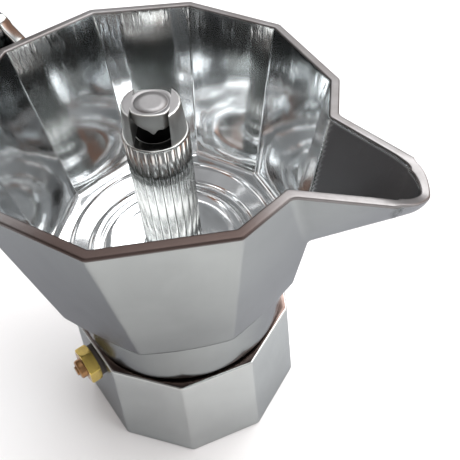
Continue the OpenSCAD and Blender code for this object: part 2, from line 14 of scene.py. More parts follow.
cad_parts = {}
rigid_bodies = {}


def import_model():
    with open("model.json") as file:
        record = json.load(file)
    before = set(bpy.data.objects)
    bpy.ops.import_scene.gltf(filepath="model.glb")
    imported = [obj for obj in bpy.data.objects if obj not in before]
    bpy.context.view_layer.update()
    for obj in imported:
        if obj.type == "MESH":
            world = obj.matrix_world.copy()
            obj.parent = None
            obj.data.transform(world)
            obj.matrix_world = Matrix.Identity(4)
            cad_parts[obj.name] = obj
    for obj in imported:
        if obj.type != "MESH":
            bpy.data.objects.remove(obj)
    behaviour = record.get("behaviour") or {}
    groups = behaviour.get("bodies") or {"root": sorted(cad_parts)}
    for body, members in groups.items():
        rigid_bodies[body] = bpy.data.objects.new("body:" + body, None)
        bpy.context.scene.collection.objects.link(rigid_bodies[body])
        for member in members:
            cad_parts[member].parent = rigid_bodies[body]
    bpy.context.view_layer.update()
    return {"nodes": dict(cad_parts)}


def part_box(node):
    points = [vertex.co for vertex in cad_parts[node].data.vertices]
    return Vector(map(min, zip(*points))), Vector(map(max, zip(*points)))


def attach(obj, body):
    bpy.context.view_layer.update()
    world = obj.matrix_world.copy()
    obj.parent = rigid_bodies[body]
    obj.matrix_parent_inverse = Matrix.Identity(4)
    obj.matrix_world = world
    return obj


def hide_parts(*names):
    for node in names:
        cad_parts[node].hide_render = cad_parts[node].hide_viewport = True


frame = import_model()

LOG = logging.getLogger("moka_pot")
MM = 0.001
DECAGON = 10
Array = np.ndarray
Material = bpy.types.Material
Socket = bpy.types.NodeSocket
Thing = bpy.types.Object
Colour = tuple[float, float, float]


# ---------------------------------------------------------------- shapes and numbers


def smooth_max(a: Array, b: Array, k: float) -> Array:
    """Larger of two values, rounded where they meet.

    Args:
        a: First value.
        b: Second value.
        k: Width of the rounding.

    Returns:
        The rounded maximum.
    """
    h = np.clip(0.5 + 0.5 * (a - b) / k, 0, 1)
    return b + (a - b) * h + k * h * (1 - h)


def smooth_min(a: Array, b: Array, k: float) -> Array:
    """Smaller of two values, rounded where they meet."""
    return -smooth_max(-a, -b, k)


def smooth_step(x: Array) -> Array:
    """Eased step from 0 to 1 over x from 0 to 1."""
    t = np.clip(x, 0, 1)
    return t * t * (3 - 2 * t)


def polygon_radius(theta: Array, corner: Array, sides: int, fillet: float, first: float = 0.0) -> Array:
    """Distance from the axis to a regular polygon with rounded corners.

    Args:
        theta: Angles to measure at, in radians.
        corner: Radius of the sharp corners.
        sides: Number of sides.
        fillet: Radius of the rounded corners.
        first: Angle of the first corner.

    Returns:
        The radius at each angle.
    """
    half = math.pi / sides
    phi = (theta - first + half) % (2 * half) - half
    apothem = corner * math.cos(half)
    centre = (apothem - fillet) / math.cos(half)
    tangent = np.arctan2(fillet * math.sin(half), centre + fillet * math.cos(half))
    flat = apothem / np.cos(half - np.abs(phi))
    arc = centre * np.cos(phi) + np.sqrt(np.maximum(fillet ** 2 - (centre * np.sin(phi)) ** 2, 0))
    return np.where(np.abs(phi) < tangent, arc, flat)


def corner_angles(sides: int, first: float, extra: Sequence[float] = ()) -> Array:
    """Angles round a polygon, close together at its corners.

    Args:
        sides: Number of sides.
        first: Angle of the first corner, in radians.
        extra: More angles to include.

    Returns:
        Sorted angles from 0 to a full turn.
    """
    near = np.array([0, 0.3, 0.6, 0.95, 1.4, 2.2, 3.6, 5.6, 8.4, 11.6, 14.8])
    steps = np.radians(np.concatenate([-near[:0:-1], near]) * DECAGON / sides)
    angles = [first + 2 * math.pi * k / sides + s for k in range(sides) for s in [*steps, math.pi / sides]]
    angles = np.sort(np.array([*angles, *extra]) % (2 * math.pi))
    keep = np.concatenate([[True], np.diff(angles) > math.radians(0.12)])
    return angles[keep]


def even_angles(count: int) -> Array:
    """Evenly spaced angles round a full turn."""
    return np.linspace(0, 2 * math.pi, count, endpoint=False)


def arc_steps(count: int) -> Array:
    """Angles of a quarter turn in even steps, ends left out."""
    return np.linspace(0, math.pi / 2, count + 2)[1:-1]


class Skin:
    """A surface made of rings of points, joined by quads."""

    def __init__(self, theta: Array) -> None:
        """Starts an empty surface.

        Args:
            theta: Angles of every ring's points, in radians.
        """
        self.theta = theta
        self.rings: list[Array] = []
        self.slots: list[int] = []
        self.tones: list[Array] = []

    def ring(self, radius: Any, z: Any, slot: int = 0, tone: Any = 0.0) -> "Skin":
        """Adds a ring.

        Args:
            radius: Distance from the axis, one value or one for each angle, in mm.
            z: Height, one value or one for each angle, in mm.
            slot: Material of the band that leads to this ring.
            tone: Share of the finish's second look, one value or one for each angle.

        Returns:
            This surface, so that calls can be chained.
        """
        r = np.broadcast_to(np.asarray(radius, float), self.theta.shape)
        h = np.broadcast_to(np.asarray(z, float), self.theta.shape)
        self.rings.append(np.stack([r * np.cos(self.theta), r * np.sin(self.theta), h], -1))
        self.slots.append(slot)
        self.tones.append(np.broadcast_to(np.asarray(tone, float), self.theta.shape))
        return self

    def corner(self, r0: Any, z0: Any, r1: Any, z1: Any, steps: int = 4, slot: int = 0, outward: bool = True,
               tone: Any = 0.0) -> "Skin":
        """Adds a quarter-round from one point of the profile to another.

        Args:
            r0: Radius at the start.
            z0: Height at the start.
            r1: Radius at the end.
            z1: Height at the end.
            steps: Number of rings between.
            slot: Material of the band.
            outward: Whether the radius changes last (True) or first.
            tone: Share of the finish's second look.

        Returns:
            This surface.
        """
        self.ring(r0, z0, slot, tone)
        for a in arc_steps(steps):
            u, v = (1 - math.cos(a), math.sin(a)) if outward else (math.sin(a), 1 - math.cos(a))
            self.ring(r0 + (np.asarray(r1) - r0) * u, z0 + (np.asarray(z1) - z0) * v, slot, tone)
        return self.ring(r1, z1, slot, tone)

    def build(self, name: str, finishes: Sequence[Material], closed: bool = False,
              place: Optional[Matrix] = None) -> Thing:
        """Makes the mesh object.

        Args:
            name: Name of the piece.
            finishes: Materials, in slot order.
            closed: Joins the last ring to the first; otherwise both ends are capped.
            place: Where the piece goes, in mm.

        Returns:
            The new object.
        """
        n, m = len(self.theta), len(self.rings)
        points = np.concatenate(self.rings)
        faces, slots = [], []
        for i in range(m if closed else m - 1):
            j = (i + 1) % m
            for k in range(n):
                l = (k + 1) % n
                faces.append((i * n + k, i * n + l, j * n + l, j * n + k))
                slots.append(self.slots[j])
        if not closed:
            for end, base in ((0, 0), (1, (m - 1) * n)):
                centre = len(points)
                points = np.concatenate([points, self.rings[0 if end == 0 else -1].mean(0)[None]])
                for k in range(n):
                    l = (k + 1) % n
                    pair = (base + l, base + k) if end == 0 else (base + k, base + l)
                    faces.append((*pair, centre))
                    slots.append(self.slots[0 if end == 0 else -1])
        tones = np.zeros(len(points))
        tones[:n * m] = np.concatenate(self.tones)
        return mesh_piece(name, points, faces, finishes, slots, place, tones)


def mesh_piece(name: str, points: Array, faces: Sequence[Sequence[int]], finishes: Sequence[Material],
               slots: Optional[Sequence[int]] = None, place: Optional[Matrix] = None,
               tones: Optional[Array] = None) -> Thing:
    """Makes a smooth-shaded mesh object from points in mm, with its faces pointing outwards.

    Args:
        name: Name of the piece.
        points: Corner points, in mm.
        faces: Point numbers of each face.
        finishes: Materials, in slot order.
        slots: Material number of each face.
        place: Where the piece goes, in mm.
        tones: Share of the finish's second look at each point.

    Returns:
        The new object, at the origin.
    """
    mesh = bpy.data.meshes.new(name)
    mesh.from_pydata([tuple(p) for p in points], [], [tuple(f) for f in faces])
    if tones is not None and tones.any():
        mesh.attributes.new("tone", "FLOAT", "POINT").data.foreach_set("value", tones)
    for finish in finishes:
        mesh.materials.append(finish)
    if slots is not None:
        mesh.polygons.foreach_set("material_index", np.array(slots, np.int32))
    bm = bmesh.new()
    bm.from_mesh(mesh)
    bmesh.ops.remove_doubles(bm, verts=bm.verts, dist=1e-5)
    if bm.calc_volume(signed=True) < 0:
        bmesh.ops.reverse_faces(bm, faces=bm.faces)
    bm.to_mesh(mesh)
    bm.free()
    if place is not None:
        mesh.transform(place)
    mesh.transform(Matrix.Scale(MM, 4))
    mesh.polygons.foreach_set("use_smooth", np.ones(len(mesh.polygons), bool))
    mesh.update()
    piece = bpy.data.objects.new(name, mesh)
    bpy.context.scene.collection.objects.link(piece)
    return piece


def loft(name: str, rings: Sequence[Any], finishes: Sequence[Material], last: int = 0) -> Thing:
    """Joins rings of points with quads and closes both ends.

    Args:
        name: Name of the piece.
        rings: Rings of points, in mm.
        finishes: Materials, in slot order.
        last: Number of bands at the end that take the second material, with the end itself.

    Returns:
        The new object.
    """
    n, bands = len(rings[0]), len(rings) - 1
    points = np.concatenate([np.asarray(ring, float) for ring in rings])
    faces = [(i * n + k, i * n + (k + 1) % n, (i + 1) * n + (k + 1) % n, (i + 1) * n + k)
             for i in range(bands) for k in range(n)]
    slots = [int(i >= bands - last) for i in range(bands) for k in range(n)]
    faces += [tuple(range(n)), tuple(range(len(points) - 1, len(points) - n - 1, -1))]
    return mesh_piece(name, points, faces, finishes, [*slots, 0, int(last > 0)])


def rounded_block(name: str, outline: Sequence[tuple[float, float]], width: float, edge: float,
                  finish: Material, place: Optional[Matrix] = None, offset: float = 0.0) -> Thing:
    """Makes a block with an outline in the X-Z plane, as wide as stated along Y, with rounded edges.

    Args:
        name: Name of the piece.
        outline: Corner points (x, z), in mm.
        width: Width along Y, in mm.
        edge: Radius of the rounded edges, in mm.
        finish: Material.
        place: Where the piece goes, in mm.
        offset: Middle of the width along Y, in mm.

    Returns:
        The new object.
    """
    n = len(outline)
    points = [(x, offset + side * width / 2, z) for side in (-1, 1) for x, z in outline]
    faces = [tuple(range(n)), tuple(range(2 * n - 1, n - 1, -1))]
    faces += [(k, (k + 1) % n, n + (k + 1) % n, n + k) for k in range(n)]
    piece = mesh_piece(name, np.array(points, float), faces, [finish], None, place)
    bm = bmesh.new()
    bm.from_mesh(piece.data)
    bmesh.ops.recalc_face_normals(bm, faces=bm.faces)
    sharp = [e for e in bm.edges if e.calc_face_angle(0) > math.radians(25)]
    bmesh.ops.bevel(bm, geom=sharp, offset=edge * MM, segments=3, profile=0.5, affect="EDGES", clamp_overlap=True)
    bm.to_mesh(piece.data)
    bm.free()
    piece.data.polygons.foreach_set("use_smooth", np.ones(len(piece.data.polygons), bool))
    piece.data.set_sharp_from_angle(angle=math.radians(40))
    return piece


def join(name: str, pieces: Sequence[Thing]) -> Thing:
    """Joins several mesh objects whose materials are in the same order.

    Args:
        name: Name of the joined piece.
        pieces: The objects, of which the first takes up the others.

    Returns:
        The joined piece.
    """
    target = pieces[0]
    with bpy.context.temp_override(active_object=target, selected_editable_objects=list(pieces)):
        bpy.ops.object.join()
    target.name = name
    return target


# ---------------------------------------------------------------- shaders


class Term:
    """A number that varies over a surface, as a socket that takes Python's arithmetic."""

    def __init__(self, bench: "Bench", socket: Socket) -> None:
        """Wraps a socket of the bench's node tree."""
        self.bench = bench
        self.socket = socket

    def _math(self, operation: str, *values: Any) -> "Term":
        """Adds a Math node over the given values."""
        return self.bench.term("ShaderNodeMath", {"operation": operation}, dict(enumerate(values)))

    def __add__(self, other: Any) -> "Term":
        """Adds another term or number."""
        return self._math("ADD", self, other)

    __radd__ = __add__

    def __sub__(self, other: Any) -> "Term":
        """Takes another term or number away."""
        return self._math("SUBTRACT", self, other)

    def __rsub__(self, other: Any) -> "Term":
        """Takes this term away from a number."""
        return self._math("SUBTRACT", other, self)

    def __mul__(self, other: Any) -> "Term":
        """Multiplies by another term or number."""
        return self._math("MULTIPLY", self, other)

    __rmul__ = __mul__

    def band(self, low: float, high: float) -> "Term":
        """Eased step from 0 at low to 1 at high."""
        return self.bench.term("ShaderNodeMapRange", {"interpolation_type": "SMOOTHSTEP"},
                               {"Value": self, "From Min": low, "From Max": high})


class Bench:
    """Makes the nodes of one material or of the world."""

    def __init__(self, tree: bpy.types.NodeTree) -> None:
        """Clears the tree and starts with no nodes."""
        self.tree = tree
        tree.nodes.clear()

    def make(self, kind: str, settings: Optional[dict] = None, values: Optional[dict] = None) -> bpy.types.Node:
        """Adds a node.

        Args:
            kind: The node's type.
            settings: Properties, set first.
            values: Numbers, terms or sockets for its inputs, by name or number.

        Returns:
            The node.
        """
        node = self.tree.nodes.new(kind)
        for key, value in (settings or {}).items():
            setattr(node, key, value)
        for key, value in (values or {}).items():
            target = node.inputs[key]
            if isinstance(value, Term):
                value = value.socket
            if isinstance(value, Socket):
                self.tree.links.new(value, target)
            else:
                target.default_value = value
        return node

    def term(self, kind: str, settings: Optional[dict] = None, values: Optional[dict] = None,
             out: Any = 0) -> Term:
        """Adds a node and wraps one of its outputs."""
        return Term(self, self.make(kind, settings, values).outputs[out])

    def coordinates(self, scale: Sequence[float] = (1, 1, 1)) -> Socket:
        """Object coordinates, scaled."""
        base = self.make("ShaderNodeTexCoord").outputs["Object"]
        return self.make("ShaderNodeMapping", None, {"Vector": base, "Scale": scale}).outputs[0]

    def noise(self, scale: float, stretch: Sequence[float] = (1, 1, 1), detail: float = 3,
              rough: float = 0.5, distortion: float = 0) -> Term:
        """Noise from 0 to 1, stretched along the axes."""
        where = self.coordinates(stretch)
        return self.term("ShaderNodeTexNoise", None, {"Vector": where, "Scale": scale, "Detail": detail,
                                                      "Roughness": rough, "Distortion": distortion})

    def blend(self, share: Term, first: Any, second: Any) -> Socket:
        """Mixes two colours.

        Args:
            share: Share of the second colour.
            first: A colour or a socket.
            second: A colour or a socket.

        Returns:
            The mixed colour.
        """
        ends = [c if isinstance(c, Socket) else (*c, 1) for c in (first, second)]
        mix = self.make("ShaderNodeMix", {"data_type": "RGBA"}, {0: share, 6: ends[0], 7: ends[1]})
        return mix.outputs[2]

    def bump(self, height: Term, distance: float, under: Optional[Socket] = None) -> Socket:
        """Turns a height into a normal.

        Args:
            height: Height from 0 to 1.
            distance: Depth in metres.
            under: Normal of the bump below.

        Returns:
            The bumped normal.
        """
        values: dict = {"Height": height, "Distance": distance}
        if under is not None:
            values["Normal"] = under
        return self.make("ShaderNodeBump", None, values).outputs[0]


def new_material(name: str) -> tuple[Material, Bench]:
    """Makes an empty material.

    Args:
        name: Name of the material.

    Returns:
        The material and the bench for its nodes.
    """
    material = bpy.data.materials.new(name)
    material.use_nodes = True
    return material, Bench(material.node_tree)


def finish_surface(bench: Bench, values: dict) -> None:
    """Adds the surface shader and the output."""
    surface = bench.make("ShaderNodeBsdfPrincipled", None, values)
    bench.make("ShaderNodeOutputMaterial", None, {"Surface": surface.outputs[0]})


class Grain(Enum):
    """Direction in which a metal was worked."""

    UPRIGHT = (1.0, 1.0, 0.04)
    EVEN = (1.0, 1.0, 1.0)
    ROUND = (0.3, 0.3, 1.0)


@dataclass(frozen=True)
class MetalFinish:
    """A worked metal surface: tint, gloss, grain, slow waves and stains."""

    name: str
    light: Colour
    dark: Colour
    roughness: float
    rough_spread: float = 0.08
    grain: Grain = Grain.EVEN
    grain_scale: float = 900.0
    grain_depth: float = 0.00001
    wave_scale: float = 60.0
    wave_depth: float = 0.0
    stain_scale: float = 45.0
    second: Optional[Colour] = None
    second_roughness: float = 0.5
    scuff_from: float = 0.0
    scuff_rise: float = 0.010
    scuff_depth: float = 0.00005
    edge: Colour = (1.0, 1.0, 1.0)

    def make(self) -> Material:
        """Builds the material; a second look shows where the mesh's tone is 1.

        Returns:
            The material.
        """
        material, b = new_material(self.name)
        grain = b.noise(self.grain_scale, self.grain.value, detail=4, rough=0.6)
        stain = b.noise(self.stain_scale, detail=4, rough=0.6, distortion=0.6)
        share = stain.band(0.3, 0.75) * 0.7 + grain * 0.3
        colour = b.blend(share, self.light, self.dark)
        rough = self.roughness + (grain - 0.5) * self.rough_spread + (stain - 0.5) * self.rough_spread
        if self.second is not None:
            tone = b.term("ShaderNodeAttribute", {"attribute_name": "tone"}, None, "Fac")
            colour = b.blend(tone, colour, self.second)
            rough = rough + tone * (self.second_roughness - self.roughness)
        normal = None
        if self.wave_depth > 0:
            wave = b.noise(self.wave_scale, (1, 1, 0.45), detail=2, rough=0.45, distortion=0.8)
            normal = b.bump(wave, self.wave_depth)
        normal = b.bump(grain, self.grain_depth, normal)
        if self.scuff_from > 0:
            height = b.term("ShaderNodeSeparateXYZ", None, {"Vector": b.coordinates()}, "Z")
            scratch = b.noise(420, (1, 1, 0.12), detail=3, rough=0.7).band(0.5, 0.72)
            where = height.band(self.scuff_from, self.scuff_from + self.scuff_rise)
            normal = b.bump(scratch * where, self.scuff_depth, normal)
        finish_surface(b, {"Base Color": colour, "Metallic": 1.0, "Roughness": rough,
                           "Specular Tint": (*self.edge, 1.0), "Normal": normal})
        return material


@dataclass(frozen=True)
class MouldedFinish:
    """A moulded plastic or rubber surface."""

    name: str
    colour: Colour
    roughness: float
    coat: float = 0.0
    speckle_depth: float = 0.00002

    def make(self) -> Material:
        """Builds the material.

        Returns:
            The material.
        """
        material, b = new_material(self.name)
        fine = b.noise(1800, detail=3)
        slow = b.noise(60, detail=2)
        lighter = tuple(min(1.0, c * 1.35 + 0.01) for c in self.colour)
        finish_surface(b, {
            "Base Color": b.blend(slow.band(0.3, 0.7), self.colour, lighter),
            "Roughness": self.roughness + (slow - 0.5) * 0.12,
            "Coat Weight": self.coat,
            "Normal": b.bump(fine, self.speckle_depth),
        })
        return material


class Palette:
    """All finishes of the pot, made once."""

    def __init__(self) -> None:
        """Builds every material."""
        self.satin = MetalFinish("satin_chamber", (0.43, 0.45, 0.44), (0.36, 0.375, 0.37), 0.17, 0.07,
                                 Grain.UPRIGHT, 700, 0.00001, 50, 0.00003,
                                 edge=(0.36, 0.36, 0.385)).make()
        self.pale = MetalFinish("satin_boiler", (0.56, 0.58, 0.57), (0.48, 0.495, 0.49), 0.21, 0.07,
                                Grain.UPRIGHT, 700, 0.00001, 50, 0.00003,
                                edge=(0.42, 0.43, 0.45)).make()
        # Painted reflection: dark brown on the boiler's shoulder and neck stands in for the dark gap under the
        # chamber's skirt that the shoulder mirrors.
        self.shoulder = MetalFinish("painted_reflection_shoulder", (0.20, 0.155, 0.14), (0.09, 0.06, 0.05), 0.18, 0.10,
                                    Grain.EVEN, 400, 0.000006, 60, 0.00006, 90).make()
        self.polished = MetalFinish("polished_cast", (0.80, 0.82, 0.83), (0.68, 0.69, 0.69), 0.10, 0.06,
                                    Grain.UPRIGHT, 500, 0.000005, 70, 0.00022, 45,
                                    (0.17, 0.17, 0.175), 0.48, 0.102).make()
        self.fluted = MetalFinish("fluted_cast", (0.43, 0.44, 0.43), (0.34, 0.34, 0.33), 0.18, 0.05,
                                  Grain.UPRIGHT, 300, 0.000002, 120, 0.00001,
                                  edge=(0.6, 0.6, 0.6)).make()
        self.head = MetalFinish("cast_head", (0.50, 0.50, 0.485), (0.40, 0.40, 0.39), 0.42, 0.06,
                                Grain.UPRIGHT, 500, 0.00001, 120, 0.00002).make()
        self.rim = MetalFinish("ground_rim", (0.27, 0.265, 0.265), (0.15, 0.135, 0.13), 0.42, 0.10,
                               Grain.EVEN, 1200, 0.00001, stain_scale=38, second=(0.07, 0.052, 0.047),
                               second_roughness=0.5, edge=(0.5, 0.5, 0.5)).make()
        self.cut = MetalFinish("cut_top", (0.26, 0.255, 0.255), (0.20, 0.195, 0.195), 0.5, 0.10,
                               Grain.EVEN, 1200, 0.00001).make()
        self.turned = MetalFinish("turned_cast", (0.62, 0.62, 0.62), (0.5, 0.5, 0.5), 0.28, 0.1,
                                  Grain.ROUND, 900, 0.00001).make()
        self.sheet = MetalFinish("pressed_sheet", (0.78, 0.78, 0.78), (0.68, 0.68, 0.68), 0.25, 0.08,
                                 Grain.EVEN, 700, 0.000008, 90, 0.00003).make()
        self.brass = MetalFinish("turned_brass", (0.66, 0.50, 0.13), (0.40, 0.28, 0.08), 0.22, 0.10,
                                 Grain.EVEN, 900, 0.000004, 160, 0.000015, 160).make()
        # Darker brass for the valve's end cap and its stem.
        self.bronze = MetalFinish("darker_brass", (0.36, 0.20, 0.09), (0.20, 0.11, 0.05), 0.30, 0.12,
                                  Grain.EVEN, 900, 0.000004, 160, 0.00001, 160).make()
        self.steel = MetalFinish("drawn_steel", (0.62, 0.62, 0.63), (0.5, 0.5, 0.5), 0.25).make()
        self.silicone = MouldedFinish("gasket_silicone", (0.80, 0.79, 0.75), 0.55).make()
        # Painted shade: near-black for the valve's washer, standing in for the dark shadow gap behind the hexagon,
        # and for the hole in the valve's end cap.
        self.gap_shade = MouldedFinish("seal_fibre", (0.05, 0.04, 0.035), 0.7).make()
        self.dark = MouldedFinish("unlit_bore", (0.004, 0.004, 0.004), 0.9).make()
        self.plastic = MouldedFinish("black_moulding", (0.012, 0.012, 0.013), 0.28, 0.35).make()


# ---------------------------------------------------------------- sizes shared by the pieces


@dataclass(frozen=True)
class PotSizes:
    """Heights and radii in mm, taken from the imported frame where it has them."""

    sides: int = 10
    shoulder_z: float = 43.0
    neck_bore_r: float = 24.4
    neck_wall: float = 2.5
    ridge_h: float = 1.1
    ridge_gap: float = 0.5
    skirt_wall: float = 2.2
    shoulder_w: float = 2.3
    boiler_flare: float = 5.1
    chamfer_w: float = 3.9
    chamber_flare: float = 4.4
    chamber_h: float = 44.3
    band_rise: float = 2.2
    floor_rise: float = 2.7
    pitch: float = 3.0
    turns: float = 3.0
    thread_rise: float = 4.0
    ridge_r: float = 0.68
    hinge_out: float = 4.2
    hinge_up: float = 1.2
    knuckle_r: float = 3.2
    clock: float = math.radians(11.8)
    base_z: float = field(default_factory=lambda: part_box("boiler")[0].z / MM)
    neck_top_z: float = field(default_factory=lambda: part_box("boiler")[1].z / MM)
    skirt_z: float = field(default_factory=lambda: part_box("upper_chamber")[0].z / MM)
    seat_z: float = field(default_factory=lambda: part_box("gasket")[1].z / MM)
    reach: float = field(default_factory=lambda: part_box("upper_chamber")[1].x / MM)

    @property
    def neck_r(self) -> float:
        """Outside radius of the neck."""
        return self.neck_bore_r + self.neck_wall

    @property
    def skirt_bore_r(self) -> float:
        """Bore radius of the threaded skirt."""
        return self.neck_r + self.ridge_h + self.ridge_gap

    @property
    def skirt_r(self) -> float:
        """Outside radius of the skirt."""
        return self.skirt_bore_r + self.skirt_wall

    @property
    def boiler_top_r(self) -> float:
        """Corner radius of the boiler's shoulder."""
        return self.skirt_r + self.shoulder_w

    @property
    def boiler_base_r(self) -> float:
        """Corner radius of the boiler's base."""
        return self.boiler_top_r + self.boiler_flare

    @property
    def waist_r(self) -> float:
        """Corner radius at the foot of the chamber's flats."""
        return self.skirt_r + self.chamfer_w

    @property
    def rim_r(self) -> float:
        """Corner radius of the rim."""
        return self.waist_r + self.chamber_flare

    @property
    def skirt_top_z(self) -> float:
        """Height where the skirt meets the sloping band."""
        return self.seat_z + self.band_rise

    @property
    def waist_z(self) -> float:
        """Height of the foot of the flats at the corners."""
        return self.skirt_top_z + self.chamfer_w

    @property
    def rim_z(self) -> float:
        """Height of the rim."""
        return self.waist_z + self.chamber_h

    @property
    def hinge(self) -> tuple[float, float]:
        """Place (x, z) of the hinge pin."""
        return -self.rim_r - self.hinge_out, self.rim_z + self.hinge_up


S = PotSizes()


def dress(piece: Thing, body: str, slot: str, *nodes: str) -> Thing:
    """Rides a piece on its body, hides what it replaces, and reports it.

    Args:
        piece: The finished piece.
        body: CAD body that it moves with.
        slot: Material slot of the record; not used.
        nodes: CAD nodes that it stands for.

    Returns:
        The piece.
    """
    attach(piece, body)
    if nodes:
        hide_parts(*nodes)
    LOG.info("%s rides on %s, %d faces", piece.name, body, len(piece.data.polygons))
    return piece


def finish_node(name: str, material: Material) -> None:
    """Gives a CAD node that keeps its own shape a finish.

    Args:
        name: Name of the node.
        material: Its finish.
    """
    node = frame["nodes"][name]
    node.data.materials.clear()
    node.data.materials.append(material)
    LOG.info("%s keeps its CAD shape, in %s", name, material.name)


# ---------------------------------------------------------------- repeated parts from node trees


class NodeTreePart:
    """A mesh made by a Geometry Nodes tree with named inputs, then turned into a plain mesh."""

    def __init__(self, name: str, **inputs: str) -> None:
        """Starts the tree with its inputs.

        Args:
            name: Name of the tree.
            inputs: Kind of each input, by its name.
        """
        self.tree = bpy.data.node_groups.new(name, "GeometryNodeTree")
        self.ids: dict[str, str] = {}
        for label, kind in {**inputs, "Material": "Material"}.items():
            socket = self.tree.interface.new_socket(label, in_out="INPUT", socket_type="NodeSocket" + kind)
            self.ids[label] = socket.identifier
        self.tree.interface.new_socket("Geometry", in_out="OUTPUT", socket_type="NodeSocketGeometry")
        self.bench = Bench(self.tree)
        self.entry = self.bench.make("NodeGroupInput")

    def finish(self, geometry: Socket) -> None:
        """Realizes the instances, sets the material and ends the tree.

        Args:
            geometry: What the tree has made so far.
        """
        real = self.bench.make("GeometryNodeRealizeInstances", None, {"Geometry": geometry})
        smooth = self.bench.make("GeometryNodeSetShadeSmooth", None, {"Geometry": real.outputs[0]})
        dressed = self.bench.make("GeometryNodeSetMaterial", None,
                                  {"Geometry": smooth.outputs[0], "Material": self.entry.outputs["Material"]})
        self.bench.make("NodeGroupOutput", None, {"Geometry": dressed.outputs[0]})

    def bake(self, name: str, values: dict[str, Any]) -> Thing:
        """Runs the tree with the given inputs.

        Args:
            name: Name of the piece.
            values: Value of each input.

        Returns:
            A plain mesh object.
        """
        holder = bpy.data.objects.new(name + "_maker", bpy.data.meshes.new(name + "_maker"))
        bpy.context.scene.collection.objects.link(holder)
        modifier = holder.modifiers.new("tree", "NODES")
        modifier.node_group = self.tree
        for label, value in values.items():
            modifier[self.ids[label]] = value
        graph = bpy.context.evaluated_depsgraph_get()
        graph.update()
        mesh = bpy.data.meshes.new_from_object(holder.evaluated_get(graph), depsgraph=graph)
        holder.modifiers.remove(modifier)
        bpy.data.objects.remove(holder)
        if not mesh.materials:
            mesh.materials.append(values["Material"])
        piece = bpy.data.objects.new(name, mesh)
        bpy.context.scene.collection.objects.link(piece)
        return piece


def thread_tree() -> NodeTreePart:
    """Tree that sweeps a ridge along a helix.

    Returns:
        The tree.
    """
    part = NodeTreePart("thread_ridge", Radius="Float", Pitch="Float", Turns="Float", Start="Float",
                        Ridge="Float")
    b, entry = part.bench, part.entry.outputs
    rise = b.make("ShaderNodeMath", {"operation": "MULTIPLY"}, {0: entry["Pitch"], 1: entry["Turns"]})
    helix = b.make("GeometryNodeCurveSpiral", None, {
        "Resolution": 64, "Rotations": entry["Turns"], "Start Radius": entry["Radius"],
        "End Radius": entry["Radius"], "Height": rise.outputs[0], "Reverse": False})
    outline = b.make("GeometryNodeCurvePrimitiveCircle", {"mode": "RADIUS"},
                     {"Resolution": 8, "Radius": entry["Ridge"]})
    sweep = b.make("GeometryNodeCurveToMesh", None, {
        "Curve": helix.outputs[0], "Profile Curve": outline.outputs[0], "Fill Caps": True})
    lift = b.make("ShaderNodeCombineXYZ", None, {"Z": entry["Start"]})
    moved = b.make("GeometryNodeTransform", None, {"Geometry": sweep.outputs[0], "Translation": lift.outputs[0]})
    part.finish(moved.outputs[0])
    return part


def rib_tree() -> NodeTreePart:
    """Tree that stands half-round ribs round a tapered column.

    Returns:
        The tree.
    """
    part = NodeTreePart("column_ribs", Count="Int", Radius="Float", Height="Float", Rib="Float",
                        Flatness="Vector", Lean="Float", Start="Float")
    b, entry = part.bench, part.entry.outputs
    rib = b.make("GeometryNodeMeshCylinder", {"fill_type": "TRIANGLE_FAN"}, {
        "Vertices": 24, "Side Segments": 4, "Radius": entry["Rib"], "Depth": entry["Height"]})
    lean = b.make("ShaderNodeCombineXYZ", None, {"Y": entry["Lean"]})
    leant = b.make("GeometryNodeTransform", None, {
        "Geometry": rib.outputs[0], "Rotation": lean.outputs[0], "Scale": entry["Flatness"]})
    circle = b.make("GeometryNodeMeshCircle", None, {"Vertices": entry["Count"], "Radius": entry["Radius"]})
    index = b.make("GeometryNodeInputIndex")
    step = b.make("ShaderNodeMath", {"operation": "DIVIDE"}, {0: 2 * math.pi, 1: entry["Count"]})
    turn = b.make("ShaderNodeMath", {"operation": "MULTIPLY"}, {0: index.outputs[0], 1: step.outputs[0]})
    facing = b.make("ShaderNodeCombineXYZ", None, {"Z": turn.outputs[0]})
    ribs = b.make("GeometryNodeInstanceOnPoints", None, {
        "Points": circle.outputs[0], "Instance": leant.outputs[0], "Rotation": facing.outputs[0]})
    lift = b.make("ShaderNodeCombineXYZ", None, {"Z": entry["Start"]})
    moved = b.make("GeometryNodeTransform", None, {"Geometry": ribs.outputs[0], "Translation": lift.outputs[0]})
    part.finish(moved.outputs[0])
    return part


def thread_ridge(tree: NodeTreePart, name: str, radius: float, shift: float, finish: Material) -> Thing:
    """Makes one start of the thread.

    Args:
        tree: The thread's tree.
        name: Name of the piece.
        radius: Radius of the helix, in mm.
        shift: How far above the lower thread it starts, in mm.
        finish: Material.

    Returns:
        The piece.
    """
    return tree.bake(name, {
        "Radius": radius * MM, "Pitch": S.pitch * MM, "Turns": S.turns,
        "Start": (S.shoulder_z + S.thread_rise + shift) * MM, "Ridge": S.ridge_r * MM, "Material": finish})


# ---------------------------------------------------------------- boiler


